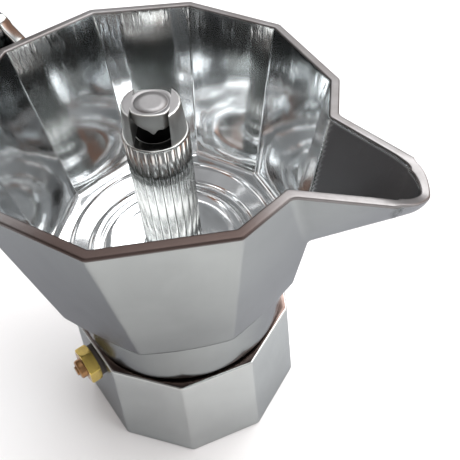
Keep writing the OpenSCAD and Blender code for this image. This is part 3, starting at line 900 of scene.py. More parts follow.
@dataclass
class Boiler:
    """Ten-sided water boiler with its threaded neck."""

    palette: Palette
    thread: NodeTreePart
    crease: float = 1.6
    foot_round: float = 0.7
    edge: float = 0.45
    floor_z: float = 3.0
    floor_round: float = 4.0
    wall: float = 3.4

    def flats(self, theta: Array, z: float) -> Array:
        """Radius of the flat sides at a height."""
        corner = S.boiler_base_r + (S.boiler_top_r - S.boiler_base_r) * z / S.shoulder_z
        return polygon_radius(theta, corner, S.sides, self.crease, S.clock)

    def build(self) -> None:
        """Makes the shell and the neck's thread."""
        theta = corner_angles(S.sides, S.clock)
        skin = Skin(theta)
        top, inner_r = S.shoulder_z, S.boiler_top_r * math.cos(math.pi / S.sides) - self.wall
        foot = self.flats(theta, 0)
        for share in (0.02, 0.3, 0.6, 0.9):
            skin.ring((foot - self.foot_round) * share, S.base_z, 1)
        skin.corner(foot - self.foot_round, S.base_z, self.flats(theta, self.foot_round), self.foot_round,
                    4, 1, outward=False)
        for z in np.linspace(2, top - 2, 14):
            skin.ring(self.flats(theta, z), z, 0)
        rim = self.flats(theta, top - self.edge)
        skin.corner(rim, top - self.edge, rim - self.edge, top, 4, 0)
        neck = S.neck_r
        # The shoulder's top and the neck take the third material, the painted dark reflection.
        for share in (0.75, 0.5, 0.25):
            skin.ring(neck + 1 + (rim - self.edge - neck - 1) * share, top, 2)
        skin.corner(neck + 1, top, neck, top + 1, 3, 2, outward=False)
        skin.ring(neck, S.neck_top_z - 6, 2)
        skin.corner(neck, S.neck_top_z - 0.5, neck - 0.5, S.neck_top_z, 2, 2)
        skin.corner(S.neck_bore_r + 0.4, S.neck_top_z, S.neck_bore_r, S.neck_top_z - 0.4, 2, 2, outward=False)
        skin.ring(S.neck_bore_r, top, 2)
        skin.ring(inner_r, top - (inner_r - S.neck_bore_r + 1), 3)
        skin.ring(inner_r, 12, 3)
        skin.corner(inner_r, self.floor_z + self.floor_round, inner_r - self.floor_round, self.floor_z, 5, 3)
        for share in (0.7, 0.4, 0.02):
            skin.ring((inner_r - self.floor_round) * share, self.floor_z, 3)
        p = self.palette
        shell = skin.build("boiler_shell", [p.pale, p.turned, p.shoulder, p.turned])
        dress(shell, "boiler", "cast_aluminium", "boiler")
        dress(thread_ridge(self.thread, "neck_thread", S.neck_r, 0.0, p.turned), "boiler", "cast_aluminium")


# ---------------------------------------------------------------- upper chamber


@dataclass
class Spout:
    """V-shaped pouring spout, as the room it takes at each height. Lengths in mm."""

    root_x: float = 34.9
    root_w: float = 12.0
    taper: float = 0.333
    tip_r: float = 6.3
    depth: float = 25.1
    nose: float = 5.6
    nose_l: float = 2.0
    nose_drop: float = 1.4
    nose_rise: float = 2.6
    root_in: float = 2.4
    wall: float = 1.75
    nowhere: float = 20.0
    reach_angle: float = math.radians(40)

    @property
    def tip_x(self) -> float:
        """Centre of the rounded tip."""
        return S.reach - self.tip_r

    def half_width(self, x: Array, inset: float) -> Array:
        """Half width of the spout at the rim's height.

        Args:
            x: Distance out from the axis, in mm.
            inset: How far inside the outer wall, in mm.

        Returns:
            The half width, negative ahead of the tip.
        """
        flank = self.root_w - self.taper * (x - self.root_x) - inset * math.hypot(1, self.taper)
        r = self.tip_r - inset
        along = np.clip((x - self.tip_x) / r, -1, 1)
        cap = np.where(x > self.tip_x + r, -1.0, r * np.sqrt(np.maximum(1 - along ** 2, 0)))
        start = self.tip_x + r * math.sin(math.atan(self.taper))
        return np.where(x < start, flank, cap)

    def keel(self, x: Array, inset: float) -> Array:
        """Height of the spout's lowest line.

        Args:
            x: Distance out from the axis, in mm.
            inset: How far inside the outer wall, in mm.

        Returns:
            The height at each distance.
        """
        start, end = S.rim_r - self.root_in, S.reach - self.nose_l
        nose_z = S.rim_z - self.nose - self.nose_drop
        foot_z = S.rim_z - self.depth
        line = foot_z + (x - start) / (end - start) * (nose_z - foot_z) + inset * 1.35
        ahead = np.clip((x - (end - inset * 0.6)) / self.nose_l, 0, 1)
        return line + self.nose_rise * (1 - np.sqrt(np.maximum(1 - ahead ** 2, 0)))

    def radius(self, theta: Array, z: Array, inset: float) -> Array:
        """Distance from the axis to the spout's wall, or a small number where there is none.

        Args:
            theta: Angles, in radians.
            z: Height at each angle, in mm.
            inset: How far inside the outer wall, in mm.

        Returns:
            The radius at each angle.
        """
        turn = np.abs((theta + math.pi) % (2 * math.pi) - math.pi)
        reach = turn < self.reach_angle
        slope = np.tan(np.where(reach, turn, 0))
        low = np.full_like(turn, self.nowhere)
        high = np.full_like(turn, S.reach - inset)
        for _ in range(40):
            x = (low + high) / 2
            keel = self.keel(x, inset)
            share = np.clip((z - keel) / (S.rim_z - keel), 0, 1.2)
            shape = np.sqrt(share * (share + 0.25) / 1.25)
            room = np.where(z > keel, self.half_width(x, inset) * shape, -1) - x * slope
            low, high = np.where(room > 0, x, low), np.where(room > 0, high, x)
        found = np.where(low > self.nowhere + 0.5, low / np.cos(np.where(reach, turn, 0)), self.nowhere)
        return np.where(reach, found, self.nowhere)


@dataclass
class UpperChamber:
    """Ten-sided coffee chamber with its spout, skirt, column, hinge ears and lug."""

    palette: Palette
    thread: NodeTreePart
    ribs: NodeTreePart
    spout: Spout = field(default_factory=Spout)
    outer_crease: float = 1.5
    inner_crease: float = 0.9
    rim_wall: float = 1.95
    foot_wall: float = 2.4
    edge: float = 0.4
    ledge_rise: float = 3.6
    foot_round: float = 1.7
    ledge_in: float = 6.8
    ring_in: float = 13.2
    boss_r: float = 8.3
    boss_h: float = 1.3
    bore: float = 4.2
    pocket_r: float = 20.6
    lip_depth: float = 2.5
    stained: float = math.radians(-58)

    def angles(self) -> Array:
        """Angles of the chamber's rings, closer together round the spout."""
        return corner_angles(S.sides, 0.0, np.radians(np.arange(-24, 24.1, 0.6)))

    def outside(self, theta: Array, z: Array) -> Array:
        """Radius of the outside.

        Args:
            theta: Angles, in radians.
            z: Height at each angle, in mm.

        Returns:
            The radius at each angle.
        """
        corner = S.waist_r + (z - S.waist_z) * S.chamber_flare / (S.rim_z - S.waist_z)
        flats = polygon_radius(theta, corner, S.sides, self.outer_crease)
        body = smooth_max(flats, self.spout.radius(theta, z, 0.0), 1.1)
        cone = smooth_max(np.full_like(theta, S.skirt_r), S.skirt_r + (z - S.skirt_top_z), 1.0)
        return smooth_min(body, cone, 0.5)

    def inside(self, theta: Array, z: Array) -> Array:
        """Radius of the coffee space.

        Args:
            theta: Angles, in radians.
            z: Height at each angle, in mm.

        Returns:
            The radius at each angle.
        """
        share = (z - S.waist_z) / (S.rim_z - S.waist_z)
        corner = S.waist_r + share * S.chamber_flare
        wall = self.foot_wall + (self.rim_wall - self.foot_wall) * share
        flats = polygon_radius(theta, corner - wall / math.cos(math.pi / S.sides), S.sides, self.inner_crease)
        return smooth_max(flats, self.spout.radius(theta, z, self.spout.wall), 0.7)

    def lining(self, theta: Array, z: Array) -> Array:
        """Share of the spout's duller look on the inside.

        Args:
            theta: Angles, in radians.
            z: Height at each angle, in mm.

        Returns:
            1 in the spout's channel and 0 elsewhere.
        """
        share = (z - S.waist_z) / (S.rim_z - S.waist_z)
        corner = S.waist_r + share * S.chamber_flare - self.rim_wall / math.cos(math.pi / S.sides)
        flats = polygon_radius(theta, corner, S.sides, self.inner_crease)
        return smooth_step((self.spout.radius(theta, z, self.spout.wall) - flats - 0.1) / 0.5)

    def rim_height(self, theta: Array) -> Array:
        """Height of the rim, which dips at the spout's lip."""
        turn = np.abs((theta + math.pi) % (2 * math.pi) - math.pi)
        return S.rim_z - 1.5 * (1 - smooth_step(turn / math.radians(7.5)))

    def shell(self) -> Thing:
        """Makes the cast shell with its inside and its threaded skirt.

        Returns:
            The piece.
        """
        theta = self.angles()
        ones = np.ones_like(theta)
        skin, top, e = Skin(theta), self.rim_height(theta), self.edge
        floor_z = S.seat_z + S.floor_rise
        lip_z = S.rim_z - self.lip_depth
        ledge_z = floor_z + self.ledge_rise
        skin.corner(S.skirt_r - 0.5, S.skirt_z, S.skirt_r, S.skirt_z + 0.5, 3, 0, outward=False)
        levels = np.concatenate([
            np.linspace(S.skirt_z + 3, S.skirt_top_z - 1.2, 6),
            np.linspace(S.skirt_top_z - 0.8, S.waist_z + 1.5, 18),
            np.linspace(S.waist_z + 4, S.rim_z - 27, 6),
            np.linspace(S.rim_z - 26, lip_z, 56)])
        for z in levels:
            skin.ring(self.outside(theta, z * ones), z, 0)
        edge_z = top - e
        rim_out = self.outside(theta, edge_z)
        for share in (0.4, 0.8):
            z = lip_z + (edge_z - lip_z) * share
            skin.ring(self.outside(theta, z), z, 0)
        rim_in = self.inside(theta, edge_z)
        away = np.abs((theta - self.stained + math.pi) % (2 * math.pi) - math.pi)
        stained = 1 - smooth_step((away - 0.35) / 0.55)
        skin.corner(rim_out, edge_z, rim_out - e, top, 4, 1, tone=stained)
        for share in (0.33, 0.67):
            skin.ring(rim_out - e + (rim_in + e - rim_out + e) * share, top, 1, stained)
        skin.corner(rim_in + e, top, rim_in, edge_z, 4, 1, outward=False, tone=stained)
        for share in (0.3, 0.7):
            z = edge_z + (lip_z - edge_z) * share
            skin.ring(self.inside(theta, z), z, 2, self.lining(theta, z))
        foot_round = self.foot_round
        for z in np.concatenate([np.linspace(lip_z, S.rim_z - 25, 50),
                                 np.linspace(S.rim_z - 27, ledge_z + foot_round, 12)]):
            skin.ring(self.inside(theta, z * ones), z, 2, self.lining(theta, z * ones))
        foot = self.inside(theta, (ledge_z + foot_round) * ones)
        for a in arc_steps(6):
            skin.ring(foot - foot_round * (1 - math.cos(a)), ledge_z + foot_round * (1 - math.sin(a)), 2)
        ring_r, mid_r = S.waist_r - self.ledge_in, S.waist_r - self.ring_in
        for share in (0.0, 0.35, 0.7):
            skin.ring((foot - foot_round) * (1 - share) + (ring_r + 0.5) * share, ledge_z, 2)
        skin.corner(ring_r + 0.45, ledge_z, ring_r - 0.35, ledge_z - 0.5, 3, 2, outward=False)
        for share in (0.2, 0.4, 0.6, 0.8):
            skin.ring(ring_r - 0.35 + (mid_r + 1.1 - ring_r + 0.35) * share,
                      ledge_z - 0.5 + (floor_z + 0.65 - ledge_z + 0.5) * share, 2)
        skin.corner(mid_r + 1.1, floor_z + 0.65, mid_r + 0.3, floor_z + 0.1, 3, 2)
        skin.corner(mid_r - 0.5, floor_z + 0.1, mid_r - 0.9, floor_z + 0.4, 3, 2, outward=False)
        skin.corner(mid_r - 1.6, floor_z + 0.4, mid_r - 2.2, floor_z, 3, 2, outward=False)
        boss_z = floor_z + self.boss_h
        for r in (15.0, 11.0, self.boss_r + 0.3):
            skin.ring(r, floor_z, 2)
        skin.corner(self.boss_r, floor_z, self.boss_r - self.boss_h, boss_z, 4, 2)
        for r, z, slot in ((self.bore, boss_z, 2), (self.bore, S.seat_z + 1, 3), (self.pocket_r, S.seat_z + 1, 3),
                           (self.pocket_r, S.seat_z, 3), (S.skirt_bore_r, S.seat_z, 3),
                           (S.skirt_bore_r, S.skirt_z + 0.5, 3)):
            skin.ring(r, z, slot)
        skin.corner(S.skirt_bore_r, S.skirt_z + 0.5, S.skirt_bore_r + 0.5, S.skirt_z, 2, 3)
        p = self.palette
        return skin.build("chamber_shell", [p.satin, p.rim, p.polished, p.turned], closed=True)

    def build(self) -> None:
        """Makes every piece of the casting."""
        p = self.palette
        dress(self.shell(), "chamber", "cast_aluminium", "upper_chamber")
        dress(thread_ridge(self.thread, "skirt_thread", S.skirt_bore_r, S.pitch / 2, p.turned),
              "chamber", "cast_aluminium")
        Column(p, self.ribs).build()
        Bracket(p).build()


@dataclass
class Column:
    """Coffee column: a fluted tube with a plugged, windowed head. Lengths in mm."""

    palette: Palette
    ribs: NodeTreePart
    bore: float = 4.2
    top_r: float = 7.1
    foot_r: float = 7.5
    drop: float = 0.9
    head_h: float = 6.8
    head_root_r: float = 6.7
    head_top_r: float = 6.0
    ear_flat: float = 3.85
    ear_wave: float = 0.012
    plug_r: float = 4.35
    plug_power: float = 3.4
    wall_l: float = 3.7
    window: float = math.radians(-63)
    rib_count: int = 22
    rib_depth: float = 0.42

    def build(self) -> None:
        """Makes the tube, its flutes, its ears and its plug."""
        p = self.palette
        floor_z = S.seat_z + S.floor_rise
        top_z = S.rim_z - self.drop
        shoulder_z = top_z - self.head_h
        core = self.rib_depth
        tube = Skin(even_angles(96))
        tube.ring(self.foot_r - core, floor_z).ring(self.foot_r - core, floor_z + 2)
        tube.ring(self.top_r - core, shoulder_z - 1.3)
        tube.corner(self.top_r - 0.12, shoulder_z - 0.8, self.top_r, shoulder_z - 0.5, 2)
        tube.corner(self.top_r, shoulder_z - 0.3, self.top_r - 0.3, shoulder_z, 4)
        tube.ring(5.6, shoulder_z - 0.1).ring(4.7, shoulder_z - 0.15)
        tube.corner(self.bore + 0.3, shoulder_z - 0.15, self.bore, shoulder_z - 0.45, 2, 0, outward=False)
        tube.ring(self.bore, shoulder_z - 1.2, 1).ring(self.bore, floor_z, 1)
        dress(tube.build("column_tube", [p.fluted, p.dark], closed=True), "chamber", "cast_aluminium")
        rib_r = math.pi * (self.top_r - core) / self.rib_count * 1.03
        height = shoulder_z - 0.6 - floor_z
        ribs = self.ribs.bake("column_ribs", {
            "Count": self.rib_count, "Height": height * MM,
            "Radius": ((self.top_r + self.foot_r) / 2 - core) * MM,
            "Rib": rib_r * MM, "Flatness": (core / rib_r, 1.0, 1.0),
            "Lean": -math.atan((self.foot_r - self.top_r) / height),
            "Start": (floor_z + height / 2) * MM, "Material": p.fluted})
        dress(ribs, "chamber", "cast_aluminium")
        for side, name in ((1, "column_ear_right"), (-1, "column_ear_left")):
            dress(self.ear(name, side, shoulder_z - 0.2, top_z), "chamber", "cast_aluminium")
        dress(self.plug(top_z), "chamber", "cast_aluminium", "column_plug")

    def ear(self, name: str, side: int, low: float, high: float) -> Thing:
        """Makes one upright between the windows, a leaning segment of the tube.

        Args:
            name: Name of the piece.
            side: 1 or -1.
            low: Height of its foot.
            high: Height of its top.

        Returns:
            The piece.
        """
        middle = self.window + side * math.pi / 2
        rings = []
        for down, inset in ((high - low, 0.0), (3.0, 0.0), (0.4, 0.0), (0.12, 0.1), (0.0, 0.35), (0.0, 0.7)):
            share = 1 - down / (high - low)
            r = self.head_root_r + (self.head_top_r - self.head_root_r) * share - inset
            half = math.acos(self.ear_flat / r) - inset * 0.02
            arc = np.linspace(-half, half, 49)
            wave = r * (1 - self.ear_wave * (1 - np.abs(np.cos(arc * self.rib_count / 2))))
            rings.append(np.stack([wave * np.cos(middle + arc), wave * np.sin(middle + arc),
                                   np.full_like(arc, high - down)], -1))
        piece = loft(name, rings, [self.palette.head, self.palette.cut], 1)
        piece.data.set_sharp_from_angle(angle=math.radians(38))
        return piece

    def plug(self, top_z: float) -> Thing:
        """Makes the plug that closes the head, with its ragged lower edge.

        Args:
            top_z: Height of its top.

        Returns:
            The piece.
        """
        theta = even_angles(144)
        turn = (theta - self.window + math.pi) % (2 * math.pi) - math.pi
        power = self.plug_power
        squared = (np.abs(np.cos(turn)) ** power + np.abs(np.sin(turn) / 0.97) ** power) ** (-1 / power)
        wall = self.plug_r * (0.35 + 0.65 * squared)
        tooth = np.exp(-((turn - 0.10) / 0.17) ** 2)
        notch = np.exp(-((turn + 0.95) / 0.38) ** 2)
        low = top_z - (self.wall_l + 1.2 * tooth - 1.6 * notch + 0.15 * np.sin(9 * theta))
        skin = Skin(theta)
        skin.ring(self.plug_r - 2.2, low + 1.4, 1).ring(wall - 0.7, low + 0.5, 1)
        skin.corner(wall - 0.45, low, wall, low + 0.35, 3, 0, outward=False)
        skin.ring(wall, top_z - 2, 0)
        skin.corner(wall, top_z - 0.3, wall - 0.3, top_z, 4, 0)
        skin.ring(3.75, top_z + 0.01, 2).ring(3.6, top_z - 0.14, 2)
        skin.corner(3.5, top_z - 0.14, 3.3, top_z + 0.1, 2, 2, outward=False)
        skin.ring(2.0, top_z + 0.1, 2).ring(0.3, top_z + 0.1, 2)
        p = self.palette
        return skin.build("column_plug_cap", [p.head, p.dark, p.cut])


@dataclass
class Bracket:
    """Hinge ears and handle lug cast on the corner opposite the spout. Lengths in mm."""

    palette: Palette
    ear_in: float = 3.9
    ear_w: float = 3.2
    ear_h: float = 6.5
    wall_in: float = 1.6
    lug_l: float = 9.0
    lug_h: float = 10.0
    lug_drop: float = 8.5
    lug_w: float = 7.0

    def build(self) -> None:
        """Makes the ears and the lug, and gives the pins their finish."""
        p = self.palette
        x, z = S.hinge
        r, wall_x, ear_z = S.knuckle_r, -S.rim_r + self.wall_in, S.rim_z - self.ear_h
        crown = [(x + r * math.cos(a), z + r * math.sin(a)) for a in np.linspace(math.pi, 0.25, 12)]
        outline = [(x - r, ear_z), *crown, (wall_x, S.rim_z - 0.6), (wall_x, ear_z)]
        ears = [rounded_block(f"ear_{side}", outline, self.ear_w, 0.5, p.satin, None,
                              side * (self.ear_in + self.ear_w / 2)) for side in (-1, 1)]
        floor_z = z - 5.5
        step = [(x - r, ear_z), (x - r, floor_z), (wall_x, floor_z), (wall_x, ear_z)]
        ears.append(rounded_block("ear_floor", step, 2 * self.ear_in + 1, 0.2, p.satin))
        end, high = -S.rim_r - self.lug_l, S.rim_z - self.lug_drop
        lug = [(end, high - self.lug_h), (end, high), (wall_x, high), (wall_x, high - self.lug_h)]
        ears.append(rounded_block("lug", lug, self.lug_w, 0.6, p.satin))
        dress(join("hinge_bracket", ears), "chamber", "cast_aluminium")
        for node in ("hinge_pin", "handle_pin"):
            finish_node(node, p.steel)


# ---------------------------------------------------------------- valve


@dataclass
class SafetyValve:
    """Brass safety valve on one flat of the boiler. Lengths in mm, along its own axis."""

    palette: Palette
    height: float = 35.0
    flat: float = 6.5
    washer: float = 1.0
    hex_af: float = 9.8
    hex_t: float = 3.4
    boss_r: float = 2.9
    boss_l: float = 1.8
    pin_r: float = 1.4
    shank_r: float = 4.0
    crease: float = 0.25

    def place(self) -> Matrix:
        """Frame on the boiler's face, with Z outwards.

        Returns:
            The frame, in mm.
        """
        to_flat = math.cos(math.pi / S.sides)
        lean = math.atan((S.boiler_base_r - S.boiler_top_r) * to_flat / S.shoulder_z)
        azimuth = S.clock + 2 * math.pi / S.sides * self.flat
        face = to_flat * (S.boiler_base_r + (S.boiler_top_r - S.boiler_base_r) * self.height / S.shoulder_z)
        return (Matrix.Rotation(azimuth, 4, "Z") @ Matrix.Translation((face, 0, self.height))
                @ Matrix.Rotation(math.pi / 2 - lean, 4, "Y"))

    def build(self) -> None:
        """Makes the hexagon body and dresses the small pieces."""
        p = self.palette
        theta = corner_angles(6, 0.0)
        corner = self.hex_af / 2 / math.cos(math.pi / 6)
        top = self.washer + self.hex_t

        def hexagon(limit: float) -> Array:
            """Hexagon trimmed by a turned chamfer of that radius."""
            flats = polygon_radius(theta, corner, 6, self.crease)
            return smooth_min(flats, np.full_like(theta, limit), self.crease)

        skin = Skin(theta)
        skin.ring(0.5, -4, 0).ring(self.shank_r, -4, 0).ring(self.shank_r, self.washer - 0.01, 0)
        skin.ring(4.7, self.washer, 0)
        skin.ring(hexagon(corner - 0.4), self.washer + 0.03, 0)
        for share, trim in ((0.05, 0.2), (0.1, -0.1), (0.35, -0.2), (0.65, -0.2), (0.88, 0.0), (0.95, 0.25),
                            (0.985, 0.5)):
            skin.ring(hexagon(corner - trim), self.washer + self.hex_t * share, 0)
        skin.ring(hexagon(corner - 0.85), top - 0.01, 0)
        skin.ring(self.boss_r + 0.5, top, 2)
        skin.corner(self.boss_r + 0.25, top, self.boss_r, top + 0.25, 2, 2, outward=False)
        end = top + self.boss_l
        skin.corner(self.boss_r, end - 0.7, self.boss_r - 0.7, end, 5, 2)
        # The hole in the end cap takes the second material, painted shade.
        skin.ring(self.pin_r + 0.25, end - 0.02, 2).ring(self.pin_r + 0.06, end - 0.2, 1)
        skin.ring(self.pin_r + 0.06, end - 2, 1).ring(0.2, end - 2.02, 1)
        body = skin.build("valve_hexagon", [p.brass, p.gap_shade, p.bronze], place=self.place())
        body.data.set_sharp_from_angle(angle=math.radians(22))
        dress(body, "boiler", "brass", "valve_body")
        # The washer takes the painted shade of the dark gap behind the hexagon.
        for node, finish in (("valve_washer", p.gap_shade), ("valve_seat", p.brass), ("valve_stem", p.bronze),
                             ("valve_spring", p.steel)):
            finish_node(node, finish)


# ---------------------------------------------------------------- handle, lid and knob


@dataclass
class Handle:
    """Black moulded side handle. Lengths in mm."""

    palette: Palette
    reach: float = 31.0
    drop: float = 52.0
    head_h: float = 13.2
    grip_t: float = 11.0
    width: float = 15.0
    head_drop: float = 6.9
    bend: float = 15.0
    squareness: float = 0.55

    def line(self) -> Array:
        """Middle line of the handle, from its head to its end.

        Returns:
            Points (x, z), in mm.
        """
        x0, x1 = -S.rim_r - 1.0, -S.rim_r - self.reach
        z0, bend = S.rim_z - self.head_drop - self.head_h / 2, self.bend
        arc = [(x1 + bend + bend * math.cos(a), z0 + 0.8 - bend + bend * math.sin(a))
               for a in np.radians(np.linspace(90, 165, 14))]
        grip = [(x1 + out, z0 - self.drop * share)
                for out, share in ((0.6, 0.48), (1.3, 0.64), (2.3, 0.82), (3.4, 1))]
        return np.array([(x0, z0), (x0 - 3, z0), (x0 - 7, z0 + 0.2), *arc, (x1 + 0.2, z0 - bend - 6), *grip])

    def build(self) -> None:
        """Makes the grip as a swept rounded bar."""
        line = self.line()
        count = len(line)
        across = even_angles(40)
        side, face = (np.sign(f(across)) * np.abs(f(across)) ** self.squareness for f in (np.cos, np.sin))
        head, grip = self.head_h / 2, self.grip_t / 2
        rings = []
        for i, (x, z) in enumerate(line):
            step = line[min(i + 1, count - 1)] - line[max(i - 1, 0)]
            along = step / np.linalg.norm(step)
            s = i / (count - 1)
            half = head + (grip - head) * smooth_step(s / 0.4) - 0.6 * max(0, (s - 0.4) / 0.6) ** 2
            wide = self.width / 2 - 1.3 * smooth_step(s / 0.5) + 0.5 * smooth_step((s - 0.6) / 0.4)
            for back, trim in self.trims(i, count):
                v = face * (half - trim)
                rings.append(np.stack([x + back * along[0] - v * along[1], side * (wide - trim),
                                       z + back * along[1] + v * along[0]], -1))
        dress(loft("handle_grip", rings, [self.palette.plastic]), "chamber", "black_plastic", "handle")

    @staticmethod
    def trims(i: int, count: int) -> list[tuple[float, float]]:
        """Rounds the two ends.

        Args:
            i: Number of the point along the line.
            count: Number of points.

        Returns:
            Steps along the line and inwards, one for each ring at that point.
        """
        if i == 0:
            return [(0.0, 1.2), (0.35, 0.5), (1.0, 0.1), (1.6, 0.0)]
        if i == count - 1:
            return [(-1.8, 0.0), (-1.0, 0.3), (-0.35, 0.9), (0.0, 1.8)]
        return [(0.0, 0.0)]


@dataclass
class Lid:
    """Domed ten-sided lid with its knob. Lengths in mm, drawn closed and then opened."""

    palette: Palette
    open_angle: float = math.radians(112)
    gap: float = 0.3
    band: float = 2.0
    sheet: float = 1.8
    dome: float = 10.0
    lip_r: float = 34.3
    lip_h: float = 2.4
    arm_w: float = 7.4
    beak_w: float = 18.6
    beak_taper: float = 0.29
    beak_in: float = 3.4
    knob_h: float = 17.0
    knob_r: float = 9.5
    knob_sides: int = 8

    def place(self) -> Matrix:
        """Turn about the hinge pin from closed to open."""
        pivot = Vector((S.hinge[0], 0, S.hinge[1]))
        return Matrix.Translation(pivot) @ Matrix.Rotation(-self.open_angle, 4, "Y") @ Matrix.Translation(-pivot)

    def edge(self, theta: Array, corner: float) -> Array:
        """Outline of the lid with its beak over the spout.

        Args:
            theta: Angles, in radians.
            corner: Radius of the ten corners, in mm.

        Returns:
            The radius at each angle.
        """
        flats = polygon_radius(theta, corner, S.sides, 1.2)
        turn = np.abs((theta + math.pi) % (2 * math.pi) - math.pi)
        ahead = turn < math.radians(30)
        near = np.where(ahead, turn, 0)
        flank = self.beak_w / (np.tan(near) + self.beak_taper) / np.cos(near)
        tip = (S.reach - self.beak_in) * (1 - 0.018 * (near / math.radians(4)) ** 2)
        return smooth_max(flats, np.where(ahead, smooth_min(flank, tip, 2.0), 20.0), 1.0)

    def build(self) -> None:
        """Makes the lid, its knuckle and its knob."""
        p = self.palette
        theta = corner_angles(S.sides, 0.0, np.radians(np.arange(-20, 20.1, 0.8)))
        low = S.rim_z + self.gap
        top = low + self.band
        corner = S.rim_r + 0.1
        rim = self.edge(theta, corner)
        skin = Skin(theta)
        skin.ring(rim - 0.5, low, 0)
        skin.corner(rim - 0.35, low, rim, low + 0.35, 2, 0, outward=False)
        skin.corner(rim, top - 0.6, rim - 0.6, top, 4, 0)
        deca = polygon_radius(theta, corner, S.sides, 1.2)
        mid, crown = deca * 0.77, deca * 0.3
        for share, z in ((0.02, 0.0), (0.15, 0.55), (0.4, 1.9), (0.7, 3.6), (0.95, 4.9)):
            skin.ring((deca - 1.0) * (1 - share) + mid * share, top + z, 0)
        for share, z in ((0.05, 0.3), (0.3, 1.6), (0.6, 3.2), (0.9, 4.6), (1.0, 4.9)):
            skin.ring(mid * (1 - share) + crown * share, top + self.dome / 2 + z, 0)
        peak = top + self.dome
        circle = np.full_like(theta, 11.0)
        skin.ring(circle, peak - 0.02, 1).ring(6.0, peak, 1).ring(2.2, peak, 1)
        skin.ring(2.2, peak - self.sheet, 2).ring(8.0, peak - self.sheet, 2)
        skin.ring(crown - 1.0, peak - self.sheet - 0.1, 2)
        skin.ring(mid - 1.0, top + self.dome / 2 - self.sheet, 2)
        skin.ring(self.lip_r - 1.4, low + 1.6, 2)
        skin.corner(self.lip_r - 1.4, low - self.lip_h + 0.3, self.lip_r - 1.1, low - self.lip_h, 2, 2)
        skin.corner(self.lip_r - 0.3, low - self.lip_h, self.lip_r, low - self.lip_h + 0.3, 2, 2, outward=False)
        skin.ring(self.lip_r, low, 2)
        lid = skin.build("lid_shell", [p.satin, p.turned, p.polished], closed=True, place=self.place())
        dress(lid, "lid", "cast_aluminium", "lid")
        self.knuckle(low)
        self.knob(peak + 0.6)
        for node, finish in (("knob_washer", p.sheet), ("knob_screw", p.steel), ("knob_insert", p.brass)):
            finish_node(node, finish)

    def knuckle(self, low: float) -> None:
        """Makes the knuckle with its arm and its stop.

        Args:
            low: Height of the lid's underside.
        """
        x, z = S.hinge
        r = S.knuckle_r
        crown = [(x + r * math.cos(a), z + r * math.sin(a)) for a in np.linspace(-2.6, 2.6, 22)]
        heel = [(x - 5.0, z + 1.5), (x - 5.0, z - 1.0)]
        arm = [(x, low + 0.05), (x, low + self.band), (-S.rim_r + 4, low + self.band), (-S.rim_r + 4, low + 0.05)]
        blocks = [rounded_block(name, outline, self.arm_w, 0.3, self.palette.satin, self.place())
                  for name, outline in (("barrel", [*crown, *heel]), ("arm", arm))]
        dress(join("lid_knuckle", blocks), "lid", "cast_aluminium")

    def knob(self, foot: float) -> None:
        """Makes the knob with soft sides.

        Args:
            foot: Height of its foot.
        """
        theta = corner_angles(self.knob_sides, 0.0)

        def ring(radius: float) -> Array:
            """Eight-sided ring with soft corners."""
            return polygon_radius(theta, radius, self.knob_sides, radius * 0.55)

        skin = Skin(theta)
        skin.ring(0.3, foot, 0).ring(ring(self.knob_r - 2.9), foot, 0)
        skin.corner(ring(self.knob_r - 2.4), foot, ring(self.knob_r - 2.1), foot + 0.5, 2, 0, outward=False)
        for inset, share in ((2.4, 0.1), (2.9, 0.2), (3.2, 0.35), (2.9, 0.48), (2.0, 0.6), (0.9, 0.7),
                             (0.25, 0.78), (0.0, 0.84), (0.25, 0.89), (0.9, 0.935), (2.0, 0.965), (3.6, 0.985), (6.0, 0.997)):
            skin.ring(ring(self.knob_r - inset), foot + self.knob_h * share, 0)
        skin.ring(0.4, foot + self.knob_h, 0)
        knob = skin.build("lid_knob", [self.palette.plastic], place=self.place())
        dress(knob, "lid", "black_plastic", "knob")


@dataclass
class Inner:
    """Basket, strainer, gasket and filter plate, which keep their CAD shapes."""

    palette: Palette

    def dress(self) -> None:
        """Gives each its finish."""
        p = self.palette
        for node, finish in (("basket", p.sheet), ("basket_stem", p.sheet), ("strainer_disc", p.sheet),
                             ("filter_plate", p.sheet), ("gasket", p.silicone)):
            finish_node(node, finish)


# ---------------------------------------------------------------- studio


@dataclass(frozen=True)
class Softbox:
    """A square soft light that faces a point."""

    name: str
    place: Colour
    size: float
    power: float
    aim: Colour = (0.0, 0.0, 0.06)

    def build(self) -> None:
        """Adds the light."""
        lamp = bpy.data.lights.new(self.name, "AREA")
        lamp.size, lamp.energy = self.size, self.power
        holder = bpy.data.objects.new(self.name, lamp)
        holder.location = self.place
        holder.rotation_euler = (Vector(self.aim) - Vector(self.place)).to_track_quat("-Z", "Y").to_euler()
        bpy.context.scene.collection.objects.link(holder)


